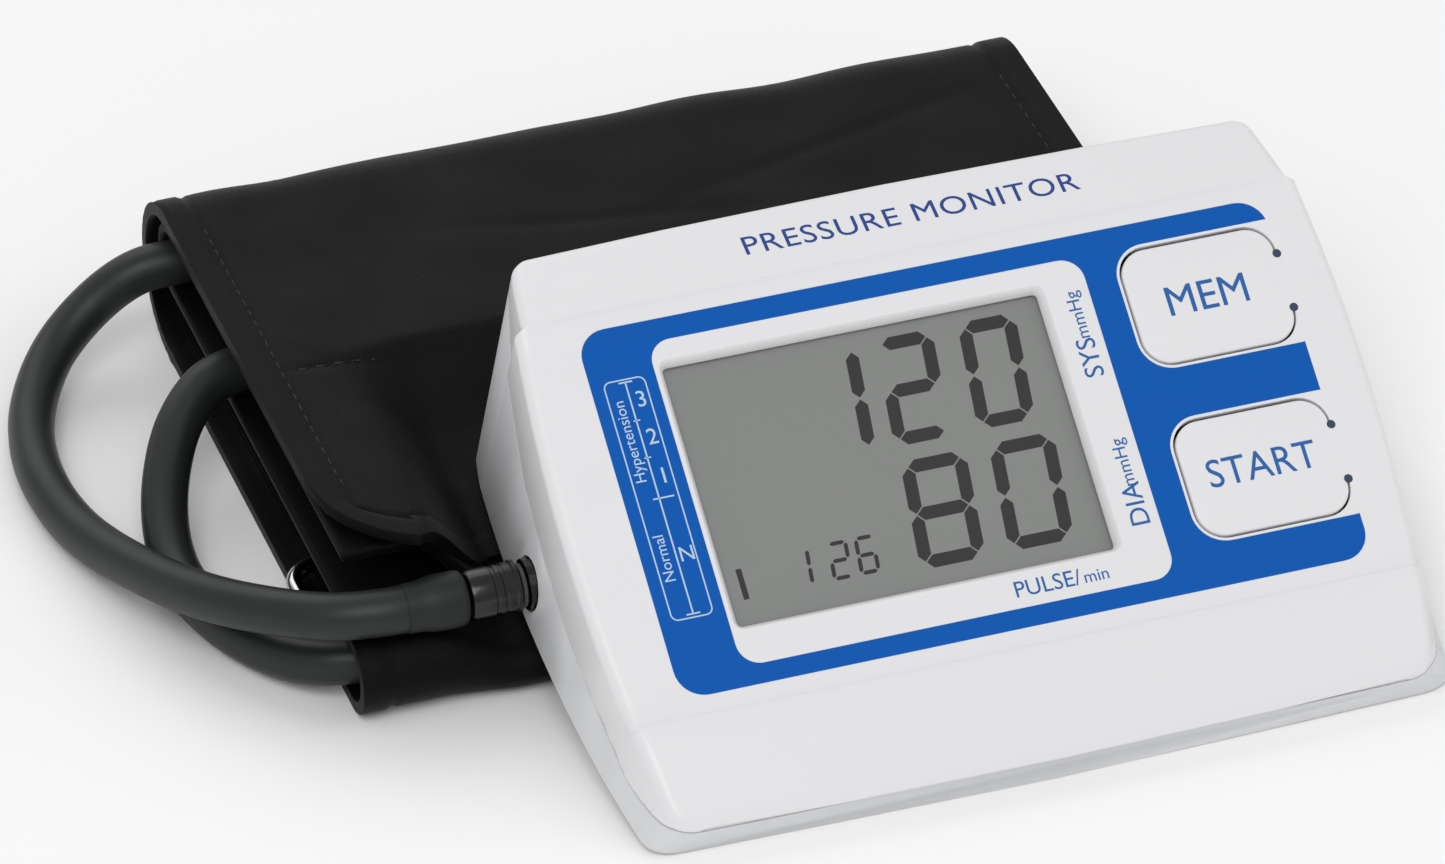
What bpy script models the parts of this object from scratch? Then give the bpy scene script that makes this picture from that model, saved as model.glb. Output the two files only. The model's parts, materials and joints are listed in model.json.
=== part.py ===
"""Automatic upper-arm blood-pressure monitor with its folded cuff and air hose.

The monitor is a wedge-shaped plastic case whose back edge rests on the folded cuff.
Units: sizes are written in millimetres and turned to metres by mm().
World frame: +Z up, X to the right of the monitor, -Y towards the reader.
"""
import math

import bmesh
import bpy
from mathutils import Vector

MM = 0.001

# ---------------------------------------------------------------- driving dimensions, mm
GAP = 0.3                  # clearance between neighbouring pieces

ORIGIN_X = 14.75           # monitor's middle, seen from the centre of the whole footprint
ORIGIN_Y = -82.02          # monitor's front edge, seen from the same centre
PROP_TILT = 12.0           # degrees: the case leans back on the folded cuff

CASE_WIDTH = 138.0         # widest place, half way back
CASE_DEPTH = 93.0
CASE_BOW_BASE = 3.4        # how much the sides draw in from the middle to the corners
CASE_BOW_TOP = 4.3
CASE_SIDE_LEAN = 2.7       # each side leans in this much from base to top
CASE_CORNER = 3.5          # plan radius of the corners
CASE_WALL = 2.0
EDGE_ROUND = 2.0           # radius where the side walls meet the top
FRONT_BOW = 1.5
BACK_LEAN = 4.0            # the back wall leans in towards the base

PANEL_START_Y = 16.5       # lower edge of the sloped display panel
PANEL_START_Z = 12.7
PANEL_END_Y = 77.3         # upper edge, where the top band begins
PANEL_SLOPE = 22.3         # degrees
BAND_STEP = 0.8            # the top band stands this much above the panel

LCD_LEFT, LCD_RIGHT = -43.2, 18.2      # opening, across the panel
LCD_LOW, LCD_HIGH = 12.7, 55.9         # opening, up the panel
LCD_DEPTH = 2.3                        # glass lies this far under the panel
LCD_THICK = 2.8

BUTTON_LEFT, BUTTON_HINGE = 32.0, 57.2
BUTTON_HEIGHT = 19.2
BUTTON_LOW = {"mem": 39.9, "start": 10.7}
BUTTON_CORNER = 4.4
BUTTON_THICK = 2.0
SLOT = 0.45                # width of the moulded slot round each button
SWITCH_U = 41.0            # where the switch sits under its button

PCB_DEPTH = 8.6            # upper face of the board under the panel
PCB_THICK = 1.6
PCB_LOW, PCB_HIGH = 5.0, 51.5
PCB_LEFT, PCB_RIGHT = -50.0, 55.0

CELL_DIAMETER, CELL_LENGTH = 14.2, 50.2
CELL_ROWS_Y = (63.5, 78.1)
CELL_Z = 10.3
BAY_LEFT, BAY_RIGHT = -56.4, 51.0
BAY_FRONT, BAY_BACK = 55.4, 86.4
DOOR_THICK = 1.5

JACK_Y, JACK_Z = 53.5, 7.0
HOSE_DIAMETER = 7.5
PLUG_DIAMETER = 8.1

FOOT_DIAMETER, FOOT_HEIGHT = 7.0, 1.2
FOOT_X = 61.5
FOOT_Y = (13.0, 80.0)

CUFF_LEFT, CUFF_RIGHT = -96.5, 49.5
CUFF_FRONT, CUFF_BACK = 46.0, 165.0
CUFF_PLY = 2.4             # thickness of one padded layer
CUFF_HEIGHT = 28.0
POUCH_TOP = 10.7           # underside of the second layer
D_RING_WIRE = 2.6
D_RING_Y = (70.5, 84.5)
D_RING_Z = 4.2


def mm(*values):
    """A point given in millimetres, as a vector in metres."""
    return Vector(values) * MM


# ---------------------------------------------------------------- scene and materials
def clear_scene():
    for thing in list(bpy.data.objects):
        bpy.data.objects.remove(thing, do_unlink=True)


def material(name, colour, roughness=0.45, metallic=0.0):
    made = bpy.data.materials.new(name)
    made.use_nodes = True
    shader = made.node_tree.nodes["Principled BSDF"]
    shader.inputs["Base Color"].default_value = (*colour, 1.0)
    shader.inputs["Roughness"].default_value = roughness
    shader.inputs["Metallic"].default_value = metallic
    made.diffuse_color = (*colour, 1.0)
    return made


def make_materials():
    return {
        "case": material("white_abs", (0.75, 0.75, 0.76), 0.35),
        "lcd": material("lcd_glass", (0.23, 0.24, 0.23), 0.25),
        "holder": material("grey_abs", (0.35, 0.35, 0.36), 0.5),
        "zebra": material("zebra_rubber", (0.05, 0.05, 0.06), 0.7),
        "pcb": material("green_board", (0.02, 0.18, 0.08), 0.45),
        "chip": material("black_epoxy", (0.02, 0.02, 0.02), 0.5),
        "steel": material("plated_steel", (0.7, 0.7, 0.7), 0.25, 1.0),
        "brass": material("brass", (0.75, 0.55, 0.25), 0.3, 1.0),
        "pump": material("pump_acetal", (0.55, 0.55, 0.52), 0.5),
        "cell": material("cell_jacket", (0.03, 0.05, 0.12), 0.35),
        "foot": material("grey_rubber", (0.25, 0.25, 0.25), 0.8),
        "hose": material("hose_pvc", (0.035, 0.04, 0.04), 0.45),
        "plug": material("plug_abs", (0.01, 0.01, 0.01), 0.35),
        "silicone": material("clear_silicone", (0.6, 0.6, 0.58), 0.4),
        "fabric": material("black_nylon", (0.012, 0.012, 0.012), 0.8),
        "bladder": material("bladder_tpu", (0.1, 0.1, 0.11), 0.5),
        "chrome": material("chromed_wire", (0.8, 0.8, 0.8), 0.12, 1.0),
        "hook": material("hook_tape", (0.02, 0.02, 0.02), 0.9),
    }


# ---------------------------------------------------------------- modelling helpers
def new_object(name, mesh, look=None, parent=None, place=(0, 0, 0), turn=(0, 0, 0)):
    thing = bpy.data.objects.new(name, mesh)
    bpy.context.collection.objects.link(thing)
    if look is not None:
        mesh.materials.append(look)
    thing.parent = parent
    thing.location = place
    thing.rotation_euler = turn
    return thing


def finish_mesh(name, bm, smooth=True):
    bmesh.ops.recalc_face_normals(bm, faces=bm.faces)
    mesh = bpy.data.meshes.new(name)
    bm.to_mesh(mesh)
    bm.free()
    if smooth:
        mesh.shade_smooth()
        mesh.set_sharp_from_angle(angle=math.radians(30))
    return mesh


def box_mesh(name, low, high, bevel=0.0):
    """A box between two corners in mm, its upright edges rounded by bevel."""
    bm = bmesh.new()
    low, high = mm(*low), mm(*high)
    bmesh.ops.create_cube(bm, size=1.0)
    for vertex in bm.verts:
        for axis in range(3):
            vertex.co[axis] = high[axis] if vertex.co[axis] > 0 else low[axis]
    if bevel:
        upright = [e for e in bm.edges
                   if abs(e.verts[0].co.z - e.verts[1].co.z) > 0.5 * (high.z - low.z)]
        bmesh.ops.bevel(bm, geom=upright, offset=bevel * MM, segments=3, profile=0.5,
                        affect="EDGES")
    return finish_mesh(name, bm)


def ring_points(radius, count, axis, along):
    """Points of a circle round the named axis, at a distance along it, all in mm."""
    points = []
    for step in range(count):
        angle = 2 * math.pi * step / count
        c, s = radius * math.cos(angle), radius * math.sin(angle)
        points.append({"X": mm(along, c, s), "Y": mm(s, along, c), "Z": mm(c, s, along)}[axis])
    return points


def turned_mesh(name, profile, axis="Z", sides=20):
    """A solid of revolution: profile is a list of (radius, distance along the axis) in mm."""
    bm = bmesh.new()
    rings = [[bm.verts.new(p) for p in ring_points(radius, sides, axis, along)]
             for radius, along in profile]
    for lower, upper in zip(rings, rings[1:]):
        for i in range(sides):
            j = (i + 1) % sides
            bm.faces.new((lower[i], lower[j], upper[j], upper[i]))
    bm.faces.new(list(reversed(rings[0])))
    bm.faces.new(rings[-1])
    return finish_mesh(name, bm)


def hollow_turned_mesh(name, outer, inner, axis="Z", sides=20):
    """A cup or a sleeve: the outer profile runs up, the inner profile runs back down."""
    bm = bmesh.new()
    rings = [[bm.verts.new(p) for p in ring_points(radius, sides, axis, along)]
             for radius, along in outer + inner]
    closed = rings + [rings[0]] if outer[0][0] != 0 and inner[-1][1] == outer[0][1] else rings
    for lower, upper in zip(closed, closed[1:]):
        for i in range(sides):
            j = (i + 1) % sides
            bm.faces.new((lower[i], lower[j], upper[j], upper[i]))
    if closed is rings:
        bm.faces.new(list(reversed(rings[0])))
        bm.faces.new(rings[-1])
    return finish_mesh(name, bm)


def prism_mesh(name, outline, low, high, axis="X"):
    """An outline of (a, b) points in mm, carried along an axis from low to high."""
    bm = bmesh.new()

    def at(a, b, along):
        return {"X": mm(along, a, b), "Y": mm(a, along, b), "Z": mm(a, b, along)}[axis]

    first = [bm.verts.new(at(a, b, low)) for a, b in outline]
    last = [bm.verts.new(at(a, b, high)) for a, b in outline]
    count = len(outline)
    for i in range(count):
        j = (i + 1) % count
        bm.faces.new((first[i], first[j], last[j], last[i]))
    bm.faces.new(list(reversed(first)))
    bm.faces.new(last)
    return finish_mesh(name, bm)


def rounded_rectangle(left, low, right, high, radius, steps=4):
    """Outline of a rectangle with round corners, anticlockwise."""
    corners = ((right - radius, high - radius, 0), (left + radius, high - radius, 90),
               (left + radius, low + radius, 180), (right - radius, low + radius, 270))
    outline = []
    for cx, cy, start in corners:
        for step in range(steps + 1):
            angle = math.radians(start + 90 * step / steps)
            outline.append((cx + radius * math.cos(angle), cy + radius * math.sin(angle)))
    return outline


def tube_mesh(name, route, radius, sides=8, closed=False):
    """A round bar along route, a list of points in mm."""
    bm = bmesh.new()
    count = len(route)
    points = [mm(*p) for p in route]
    rings = []
    normal = None
    for i, point in enumerate(points):
        before = points[(i - 1) % count] if closed or i else point
        after = points[(i + 1) % count] if closed or i < count - 1 else point
        along = (after - before).normalized()
        if normal is None:
            guess = Vector((0, 0, 1)) if abs(along.z) < 0.9 else Vector((0, 1, 0))
            normal = along.cross(guess).normalized()
        normal = (normal - along * normal.dot(along)).normalized()
        side = along.cross(normal)
        rings.append([bm.verts.new(point + (normal * math.cos(2 * math.pi * k / sides)
                                            + side * math.sin(2 * math.pi * k / sides))
                                   * radius * MM) for k in range(sides)])
    pairs = list(zip(rings, rings[1:] + ([rings[0]] if closed else [])))
    for lower, upper in pairs:
        for i in range(sides):
            j = (i + 1) % sides
            bm.faces.new((lower[i], lower[j], upper[j], upper[i]))
    if not closed:
        bm.faces.new(list(reversed(rings[0])))
        bm.faces.new(rings[-1])
    return finish_mesh(name, bm)


def cutter(name, mesh, parent, turn=(0, 0, 0), place=(0, 0, 0)):
    thing = new_object(name, mesh, None, parent, place, turn)
    thing.hide_render = True
    thing.display_type = "WIRE"
    return thing


def boolean(target, tool, operation):
    step = target.modifiers.new(f"{operation.lower()}_{tool.name}", "BOOLEAN")
    step.operation = operation
    step.solver = "EXACT"
    step.object = tool


# ---------------------------------------------------------------- the case's own shape
def top_height(y):
    """Height of the case's top along its middle, front to back."""
    slope = math.tan(math.radians(PANEL_SLOPE))
    panel_end_z = PANEL_START_Z + (PANEL_END_Y - PANEL_START_Y) * slope
    profile = ((0.0, 4.6), (0.5, 5.4), (1.2, 6.1), (2.4, 6.8), (8.7, 10.4),
               (PANEL_START_Y - 0.6, 13.1), (PANEL_START_Y, PANEL_START_Z),
               (PANEL_END_Y, panel_end_z), (PANEL_END_Y + 0.7, panel_end_z + BAND_STEP),
               (91.0, 39.0), (92.2, 38.4), (CASE_DEPTH, 37.0))
    for (y0, z0), (y1, z1) in zip(profile, profile[1:]):
        if y <= y1:
            return z0 + (z1 - z0) * (y - y0) / (y1 - y0)
    return profile[-1][1]


def parting_height(y):
    """Height of the line where the top and bottom shells meet."""
    line = ((-5.0, 3.9), (0.0, 3.9), (13.0, 5.2), (40.0, 12.0), (62.0, 19.5), (80.0, 29.5),
            (88.0, 34.0), (100.0, 34.4))
    for (y0, z0), (y1, z1) in zip(line, line[1:]):
        if y <= y1:
            return z0 + (z1 - z0) * (y - y0) / (y1 - y0)
    return line[-1][1]


def case_half_width(y, share):
    """Half the case's width at y; share runs from 0 at the base to 1 at the top edge."""
    across = ((y - CASE_DEPTH / 2) / (CASE_DEPTH / 2)) ** 2
    base = CASE_WIDTH / 2 - CASE_BOW_BASE * across
    top = CASE_WIDTH / 2 - CASE_SIDE_LEAN - CASE_BOW_TOP * across
    band = 1.2 if y > PANEL_END_Y + 0.3 else 0.0
    return base + (top - band - base) * share


def corner_inset(distance, radius):
    """How far a round corner draws in, at a distance from the end."""
    if distance >= radius:
        return 0.0
    return radius - math.sqrt(max(0.0, radius ** 2 - (radius - distance) ** 2))


def case_section(y, inset):
    """Half outline (x, z) of the case at y, from the base's middle round to the top's."""
    end = min(y, CASE_DEPTH - y)
    drawn = corner_inset(end - inset, CASE_CORNER) + inset
    top = top_height(y) - inset
    base_w = case_half_width(y, 0.0) - drawn
    top_w = case_half_width(y, 1.0) - drawn
    shoulder = min(EDGE_ROUND, 0.35 * (top - inset))
    points = [(0.0, inset), (base_w - 1.0, inset), (base_w, inset + 0.9)]
    for step in range(4):
        angle = math.radians(90 * step / 3)
        points.append((top_w - shoulder * (1 - math.cos(angle)),
                       top - shoulder * (1 - math.sin(angle))))
    points.append((0.0, top))
    return points


def case_body(name, inset):
    """The whole case as one solid, or its hollow when inset is the wall's thickness."""
    stations = [0.0, 0.5, 1.2, 2.4, 3.6, 6.0, 8.7, 12.0, PANEL_START_Y - 0.6, PANEL_START_Y,
                26.0, 36.0, 46.5, 57.0, 67.0, PANEL_END_Y, PANEL_END_Y + 0.7, 82.0, 86.0,
                89.5, 91.0, 92.2, CASE_DEPTH]
    if inset:
        stations = [inset] + [y for y in stations if inset + 0.4 < y < CASE_DEPTH - inset - 0.4]
        stations.append(CASE_DEPTH - inset)
    bm = bmesh.new()
    loops = []
    for y in stations:
        half = case_section(y, inset)
        outline = half + [(-x, z) for x, z in reversed(half) if x > 0]
        ring = []
        for x, z in outline:
            bow = FRONT_BOW * (x / 66.0) ** 2 * max(0.0, 1.0 - y / PANEL_START_Y)
            back = max(0.0, (y - 80.0) / (CASE_DEPTH - 80.0))
            lean = back * (BACK_LEAN * (1.0 - z / 39.0) + FRONT_BOW * (x / 66.0) ** 2)
            ring.append(bm.verts.new(mm(x, y + bow - lean, z)))
        loops.append(ring)
    count = len(loops[0])
    for lower, upper in zip(loops, loops[1:]):
        for i in range(count):
            j = (i + 1) % count
            bm.faces.new((lower[i], lower[j], upper[j], upper[i]))
    bm.faces.new(list(reversed(loops[0])))
    bm.faces.new(loops[-1])
    bmesh.ops.triangulate(bm, faces=[f for f in bm.faces if len(f.verts) > 4])
    return finish_mesh(name, bm)


def parting_outline(offset, limit):
    """Outline (y, z) of the region on one side of the parting line."""
    ys = (-5.0, 0.0, 13.0, 40.0, 62.0, 80.0, 88.0, 100.0)
    line = [(y, parting_height(y) + offset) for y in ys]
    return line + [(100.0, limit), (-5.0, limit)]


def on_panel(u, s, n=0.0):
    """A point of the case given across (u), up (s) and out of (n) the display panel, mm."""
    angle = math.radians(PANEL_SLOPE)
    return (u, PANEL_START_Y + s * math.cos(angle) - n * math.sin(angle),
            PANEL_START_Z + s * math.sin(angle) + n * math.cos(angle))


PANEL_TURN = (math.radians(PANEL_SLOPE), 0, 0)
PANEL_PLACE = mm(*on_panel(0, 0))


# ---------------------------------------------------------------- the case's shells
def button_outline(low, grow, hinge_grow):
    """Outline (u, s) of a button flap, or of its opening when grow is the slot's width."""
    return rounded_rectangle(BUTTON_LEFT - grow, low - grow, BUTTON_HINGE + hinge_grow,
                             low + BUTTON_HEIGHT + grow, BUTTON_CORNER + grow)


def screw_places():
    return [(-52.0, 9.5), (52.0, 9.5), (-60.4, 68.0), (60.4, 68.0)]


def make_top_case(looks, frame, panel):
    shell = new_object("top_case", case_body("top_case", 0.0), looks["case"], frame)
    hollow = cutter("hollow_shape", case_body("hollow_shape", CASE_WALL), frame)
    below = cutter("below_parting", prism_mesh("below_parting", list(reversed(
        parting_outline(GAP / 2, -6.0))), -90, 90), frame)
    boolean(shell, below, "DIFFERENCE")
    boolean(shell, hollow, "DIFFERENCE")
    window = frustum_cutter(panel)
    boolean(shell, window, "DIFFERENCE")
    for label, low in BUTTON_LOW.items():
        hole = cutter(f"{label}_opening", prism_mesh(
            f"{label}_opening", button_outline(low, SLOT, GAP), -4.0, 3.0, "Z"), panel)
        boolean(shell, hole, "DIFFERENCE")
    for number, (x, y) in enumerate(screw_places(), 1):
        roof = top_height(y - 2.7) - 0.8
        boss = cutter(f"boss_shape_{number}", turned_mesh(
            f"boss_shape_{number}", [(2.7, 2.6), (2.7, roof)], sides=14), frame,
            place=mm(x, y, 0))
        boolean(shell, boss, "UNION")
        pilot = cutter(f"pilot_shape_{number}", turned_mesh(
            f"pilot_shape_{number}", [(1.5, 1.0), (1.5, 8.0)], sides=12), frame,
            place=mm(x, y, 0))
        boolean(shell, pilot, "DIFFERENCE")
    return shell


def frustum_cutter(panel):
    """The display window: its sides flare a little towards the outside."""
    bm = bmesh.new()
    rings = []
    for depth, flare in ((-4.0, 0.0), (-1.4, 0.0), (0.6, 1.4)):
        outline = rounded_rectangle(LCD_LEFT - flare, LCD_LOW - flare, LCD_RIGHT + flare,
                                    LCD_HIGH + flare, 0.8 + flare, 3)
        rings.append([bm.verts.new(mm(u, s, depth)) for u, s in outline])
    count = len(rings[0])
    for lower, upper in zip(rings, rings[1:]):
        for i in range(count):
            j = (i + 1) % count
            bm.faces.new((lower[i], lower[j], upper[j], upper[i]))
    bm.faces.new(list(reversed(rings[0])))
    bm.faces.new(rings[-1])
    return cutter("window_shape", finish_mesh("window_shape", bm), panel)


def make_bottom_case(looks, frame):
    shell = new_object("bottom_case", case_body("bottom_case", 0.0), looks["case"], frame)
    hollow = cutter("hollow_shape_low", case_body("hollow_shape_low", CASE_WALL), frame)
    above = cutter("above_parting", prism_mesh("above_parting", parting_outline(
        -GAP / 2, 60.0), -90, 90), frame)
    boolean(shell, above, "DIFFERENCE")
    boolean(shell, hollow, "DIFFERENCE")
    bay = cutter("bay_opening", box_mesh("bay_opening", (BAY_LEFT + 0.4, BAY_FRONT + 1.0, -1),
                                         (BAY_RIGHT - 0.4, BAY_BACK - 1.2, 4)), frame)
    boolean(shell, bay, "DIFFERENCE")
    recess = cutter("door_recess", box_mesh("door_recess",
                                            (BAY_LEFT - 1.0, BAY_FRONT - 1.0, -1),
                                            (BAY_RIGHT + 1.0, 110.0, DOOR_THICK + GAP)), frame)
    boolean(shell, recess, "DIFFERENCE")
    hole = cutter("jack_hole", turned_mesh("jack_hole", [(4.4, -75), (4.4, -64)], "X", 16),
                  frame, place=mm(0, JACK_Y, JACK_Z))
    boolean(shell, hole, "DIFFERENCE")
    for number, (x, y) in enumerate(screw_places(), 1):
        sink = cutter(f"screw_hole_{number}", turned_mesh(
            f"screw_hole_{number}", [(2.9, -1), (2.9, 1.1), (1.6, 1.1), (1.6, 2.6)],
            sides=12), frame, place=mm(x, y, 0))
        boolean(shell, sink, "DIFFERENCE")
    return shell


def make_battery_door(looks, frame):
    door = new_object("battery_door", box_mesh(
        "battery_door", (BAY_LEFT - 1.0 + GAP, BAY_FRONT - 1.0 + GAP, 0.0),
        (BAY_RIGHT + 1.0 - GAP, CASE_DEPTH - BACK_LEAN - 1.2, DOOR_THICK)),
        looks["case"], frame)
    grip = cutter("door_grip_shape", prism_mesh(
        "door_grip_shape", [(82.0, -0.6), (86.0, -0.6), (85.2, 0.8), (82.8, 0.8)], -9.0, 3.0),
        frame)
    boolean(door, grip, "DIFFERENCE")
    return door


def make_feet_and_screws(looks, frame):
    number = 0
    for y in FOOT_Y:
        for x in (-FOOT_X, FOOT_X):
            number += 1
            r = FOOT_DIAMETER / 2
            new_object(f"rubber_foot_{number}", turned_mesh(
                f"rubber_foot_{number}",
                [(r - 0.4, -FOOT_HEIGHT), (r, -FOOT_HEIGHT + 0.4), (r, -0.1)], sides=20),
                looks["foot"], frame, mm(x * (0.97 if y < 40 else 1.0), y, 0))
    for number, (x, y) in enumerate(screw_places(), 1):
        new_object(f"case_screw_{number}", turned_mesh(
            f"case_screw_{number}",
            [(2.0, 0.1), (2.4, 0.3), (2.4, 0.8), (1.15, 0.9), (1.15, 7.2), (0.5, 7.7)],
            sides=12), looks["steel"], frame, mm(x, y, 0))


# ---------------------------------------------------------------- buttons and display
def make_button(label, looks, panel):
    """A flap of the case that bends at its right edge, with a post that reaches the switch."""
    low = BUTTON_LOW[label]
    middle = low + BUTTON_HEIGHT / 2
    outline = [(u - BUTTON_HINGE, s - middle) for u, s in button_outline(low, 0.0, 0.0)]
    flap = new_object(f"{label}_button", prism_mesh(f"{label}_button", outline,
                                                    -BUTTON_THICK, 0.0, "Z"),
                      looks["case"], panel, mm(BUTTON_HINGE, middle, 0))
    post = cutter(f"{label}_post", turned_mesh(
        f"{label}_post", [(1.6, -PCB_DEPTH + 3.9), (1.6, -BUTTON_THICK + 0.6)], sides=14),
        panel, place=mm(SWITCH_U, middle, 0))
    boolean(flap, post, "UNION")
    board = -PCB_DEPTH
    body = new_object(f"{label}_switch_body", box_mesh(
        f"{label}_switch_body", (-3, -3, board + 0.1), (3, 3, board + 3.0), 0.4),
        looks["chip"], panel, mm(SWITCH_U, middle, 0))
    bore = cutter(f"{label}_switch_bore", turned_mesh(
        f"{label}_switch_bore", [(1.9, board + 0.9), (1.9, board + 4.0)], sides=16), panel,
        place=mm(SWITCH_U, middle, 0))
    boolean(body, bore, "DIFFERENCE")
    new_object(f"{label}_switch_stem", turned_mesh(
        f"{label}_switch_stem", [(1.6, board + 1.8), (1.6, board + 3.6)], sides=16),
        looks["holder"], panel, mm(SWITCH_U, middle, 0))


def make_display(looks, panel):
    low = -LCD_DEPTH - LCD_THICK
    new_object("lcd_cell", box_mesh("lcd_cell", (LCD_LEFT - 1.8, LCD_LOW - 2.2, low),
                                    (LCD_RIGHT + 1.8, LCD_HIGH + 1.6, -LCD_DEPTH)),
               looks["lcd"], panel)
    frame_low, frame_high = -PCB_DEPTH + 0.3, low - GAP
    holder = new_object("lcd_holder", box_mesh(
        "lcd_holder", (LCD_LEFT - 3.0, LCD_LOW - 3.4, frame_low),
        (LCD_RIGHT + 3.0, PCB_HIGH, frame_high), 1.0), looks["holder"], panel)
    opening = cutter("holder_opening", box_mesh(
        "holder_opening", (LCD_LEFT + 2.5, LCD_LOW + 1.0, -12), (LCD_RIGHT - 2.5, 50.0, 0)),
        panel)
    boolean(holder, opening, "DIFFERENCE")
    new_object("zebra_strip", box_mesh(
        "zebra_strip", (LCD_LEFT + 4.0, LCD_LOW + 1.4, frame_low),
        (LCD_RIGHT - 4.0, LCD_LOW + 3.8, frame_high)), looks["zebra"], panel)


def make_board(looks, panel):
    top, low = -PCB_DEPTH, -PCB_DEPTH - PCB_THICK
    under = low - GAP
    new_object("main_board", box_mesh("main_board", (PCB_LEFT, PCB_LOW, low),
                                      (PCB_RIGHT, PCB_HIGH, top), 1.5), looks["pcb"], panel)
    new_object("microcontroller", box_mesh("microcontroller", (-17, 18, under - 1.4),
                                           (-3, 32, under)), looks["chip"], panel)
    sensor = new_object("pressure_sensor", box_mesh(
        "pressure_sensor", (-41, 16, under - 3.2), (-31, 24, under)), looks["chip"], panel)
    nipple = cutter("sensor_nipple", turned_mesh("sensor_nipple", [
        (1.3, under - 5.4), (1.3, under - 2.0)], sides=12), panel, place=mm(-36, 20, 0))
    boolean(sensor, nipple, "UNION")
    new_object("buzzer", turned_mesh("buzzer", [(5.5, under - 3.6), (6.0, under - 3.2),
                                                (6.0, under)], sides=20),
               looks["chip"], panel, mm(27, 24, 0))


# ---------------------------------------------------------------- pump, valve and air path
PUMP_Y, PUMP_Z = 80.6, 27.2
VALVE_Y, VALVE_Z = 80.6, 27.0
TEE_X = 15.0


def make_pump(looks, frame):
    place = mm(0, PUMP_Y, PUMP_Z)
    new_object("pump_motor", hollow_turned_mesh(
        "pump_motor", [(6.7, -36.0), (7.4, -35.2), (7.4, -10.0)],
        [(6.6, -10.0), (6.6, -34.6), (0.9, -34.6), (0.9, -36.0)], "X", 20),
        looks["steel"], frame, place)
    rotor = new_object("pump_rotor", turned_mesh(
        "pump_rotor", [(0.5, -37.2), (0.5, -33.8), (5.4, -33.6), (5.4, -15.0), (1.0, -14.8),
                       (1.0, -5.0)], "X", 16), looks["steel"], frame, place)
    cam = cutter("cam_shape", turned_mesh("cam_shape", [(2.6, -8.6), (2.6, -5.4)], "X", 16),
                 frame, place=mm(0, PUMP_Y + 1.0, PUMP_Z))
    boolean(rotor, cam, "UNION")
    head = new_object("pump_head", box_mesh(
        "pump_head", (-9.6, PUMP_Y - 6.4, PUMP_Z - 6.6), (8.0, PUMP_Y + 6.8, PUMP_Z + 6.2)),
        looks["pump"], frame)
    cavity = cutter("head_cavity", turned_mesh("head_cavity", [(4.6, -11.0), (4.6, -3.6)],
                                               "X", 16), frame, place=place)
    boolean(head, cavity, "DIFFERENCE")


def make_valve(looks, frame):
    place = mm(0, VALVE_Y, VALVE_Z)
    body = new_object("valve_body", box_mesh(
        "valve_body", (22.0, VALVE_Y - 6, VALVE_Z - 6), (35.0, VALVE_Y + 6, VALVE_Z + 6)),
        looks["steel"], frame)
    bore = cutter("valve_bore", turned_mesh("valve_bore", [(2.5, 25.0), (2.5, 36.0)], "X", 16),
                  frame, place=place)
    boolean(body, bore, "DIFFERENCE")
    new_object("valve_plunger", turned_mesh(
        "valve_plunger", [(2.1, 27.0), (2.1, 39.0), (3.6, 39.1), (3.6, 40.2)], "X", 16),
        looks["steel"], frame, place)
    coil = []
    turns, per_turn, start, length = 3, 12, 35.55, 3.0
    for step in range(turns * per_turn + 1):
        angle = 2 * math.pi * step / per_turn
        coil.append((start + length * step / (turns * per_turn), 2.95 * math.cos(angle),
                     2.95 * math.sin(angle)))
    new_object("valve_spring", tube_mesh("valve_spring", coil, 0.22, 6), looks["steel"],
               frame, place)


def make_air_path(looks, frame):
    tee = new_object("air_manifold", box_mesh(
        "air_manifold", (TEE_X - 3.5, PUMP_Y - 4, PUMP_Z - 4),
        (TEE_X + 3.5, PUMP_Y + 4, PUMP_Z + 4), 0.8), looks["pump"], frame)
    across = cutter("tee_across", turned_mesh("tee_across", [(1.6, 8.3), (1.6, 21.7)], "X", 12),
                    frame, place=mm(0, PUMP_Y, PUMP_Z))
    branch = cutter("tee_branch", turned_mesh(
        "tee_branch", [(1.5, -6.6), (1.5, 0.0)], "Y", 12), frame,
        place=mm(TEE_X, PUMP_Y, PUMP_Z))
    boolean(tee, across, "UNION")
    boolean(tee, branch, "UNION")
    route = [(TEE_X, PUMP_Y - 7.2, PUMP_Z), (14.8, 72.2, 26.6), (12.0, 71.2, 23.4),
             (5.0, 70.8, 21.2), (-8.0, 70.6, 20.6), (-28.0, 70.4, 20.6), (-46.0, 69.4, 20.6),
             (-53.5, 65.0, 20.8), (-58.8, 59.0, 20.6), (-62.2, 54.8, 18.4),
             (-62.8, JACK_Y, 14.9)]
    new_object("inner_air_tube", tube_mesh("inner_air_tube", smooth_route(route, 24), 1.9, 8),
               looks["silicone"], frame)
    jack = new_object("air_jack", box_mesh(
        "air_jack", (-65.2, JACK_Y - 4.5, JACK_Z - 4.4), (-60.8, JACK_Y + 4.5, JACK_Z + 4.4),
        0.6), looks["plug"], frame)
    sleeve = cutter("jack_sleeve", turned_mesh("jack_sleeve", [(4.1, -69.0), (4.1, -64.0)],
                                               "X", 16), frame, place=mm(0, JACK_Y, JACK_Z))
    nipple = cutter("jack_nipple", turned_mesh("jack_nipple", [(1.5, 8.0), (1.5, 14.2)],
                                               sides=12), frame, place=mm(-62.8, JACK_Y, 0))
    socket = cutter("jack_socket", turned_mesh("jack_socket", [(2.3, -72.0), (2.3, -62.3)],
                                               "X", 16), frame, place=mm(0, JACK_Y, JACK_Z))
    boolean(jack, sleeve, "UNION")
    boolean(jack, nipple, "UNION")
    boolean(jack, socket, "DIFFERENCE")


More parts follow.
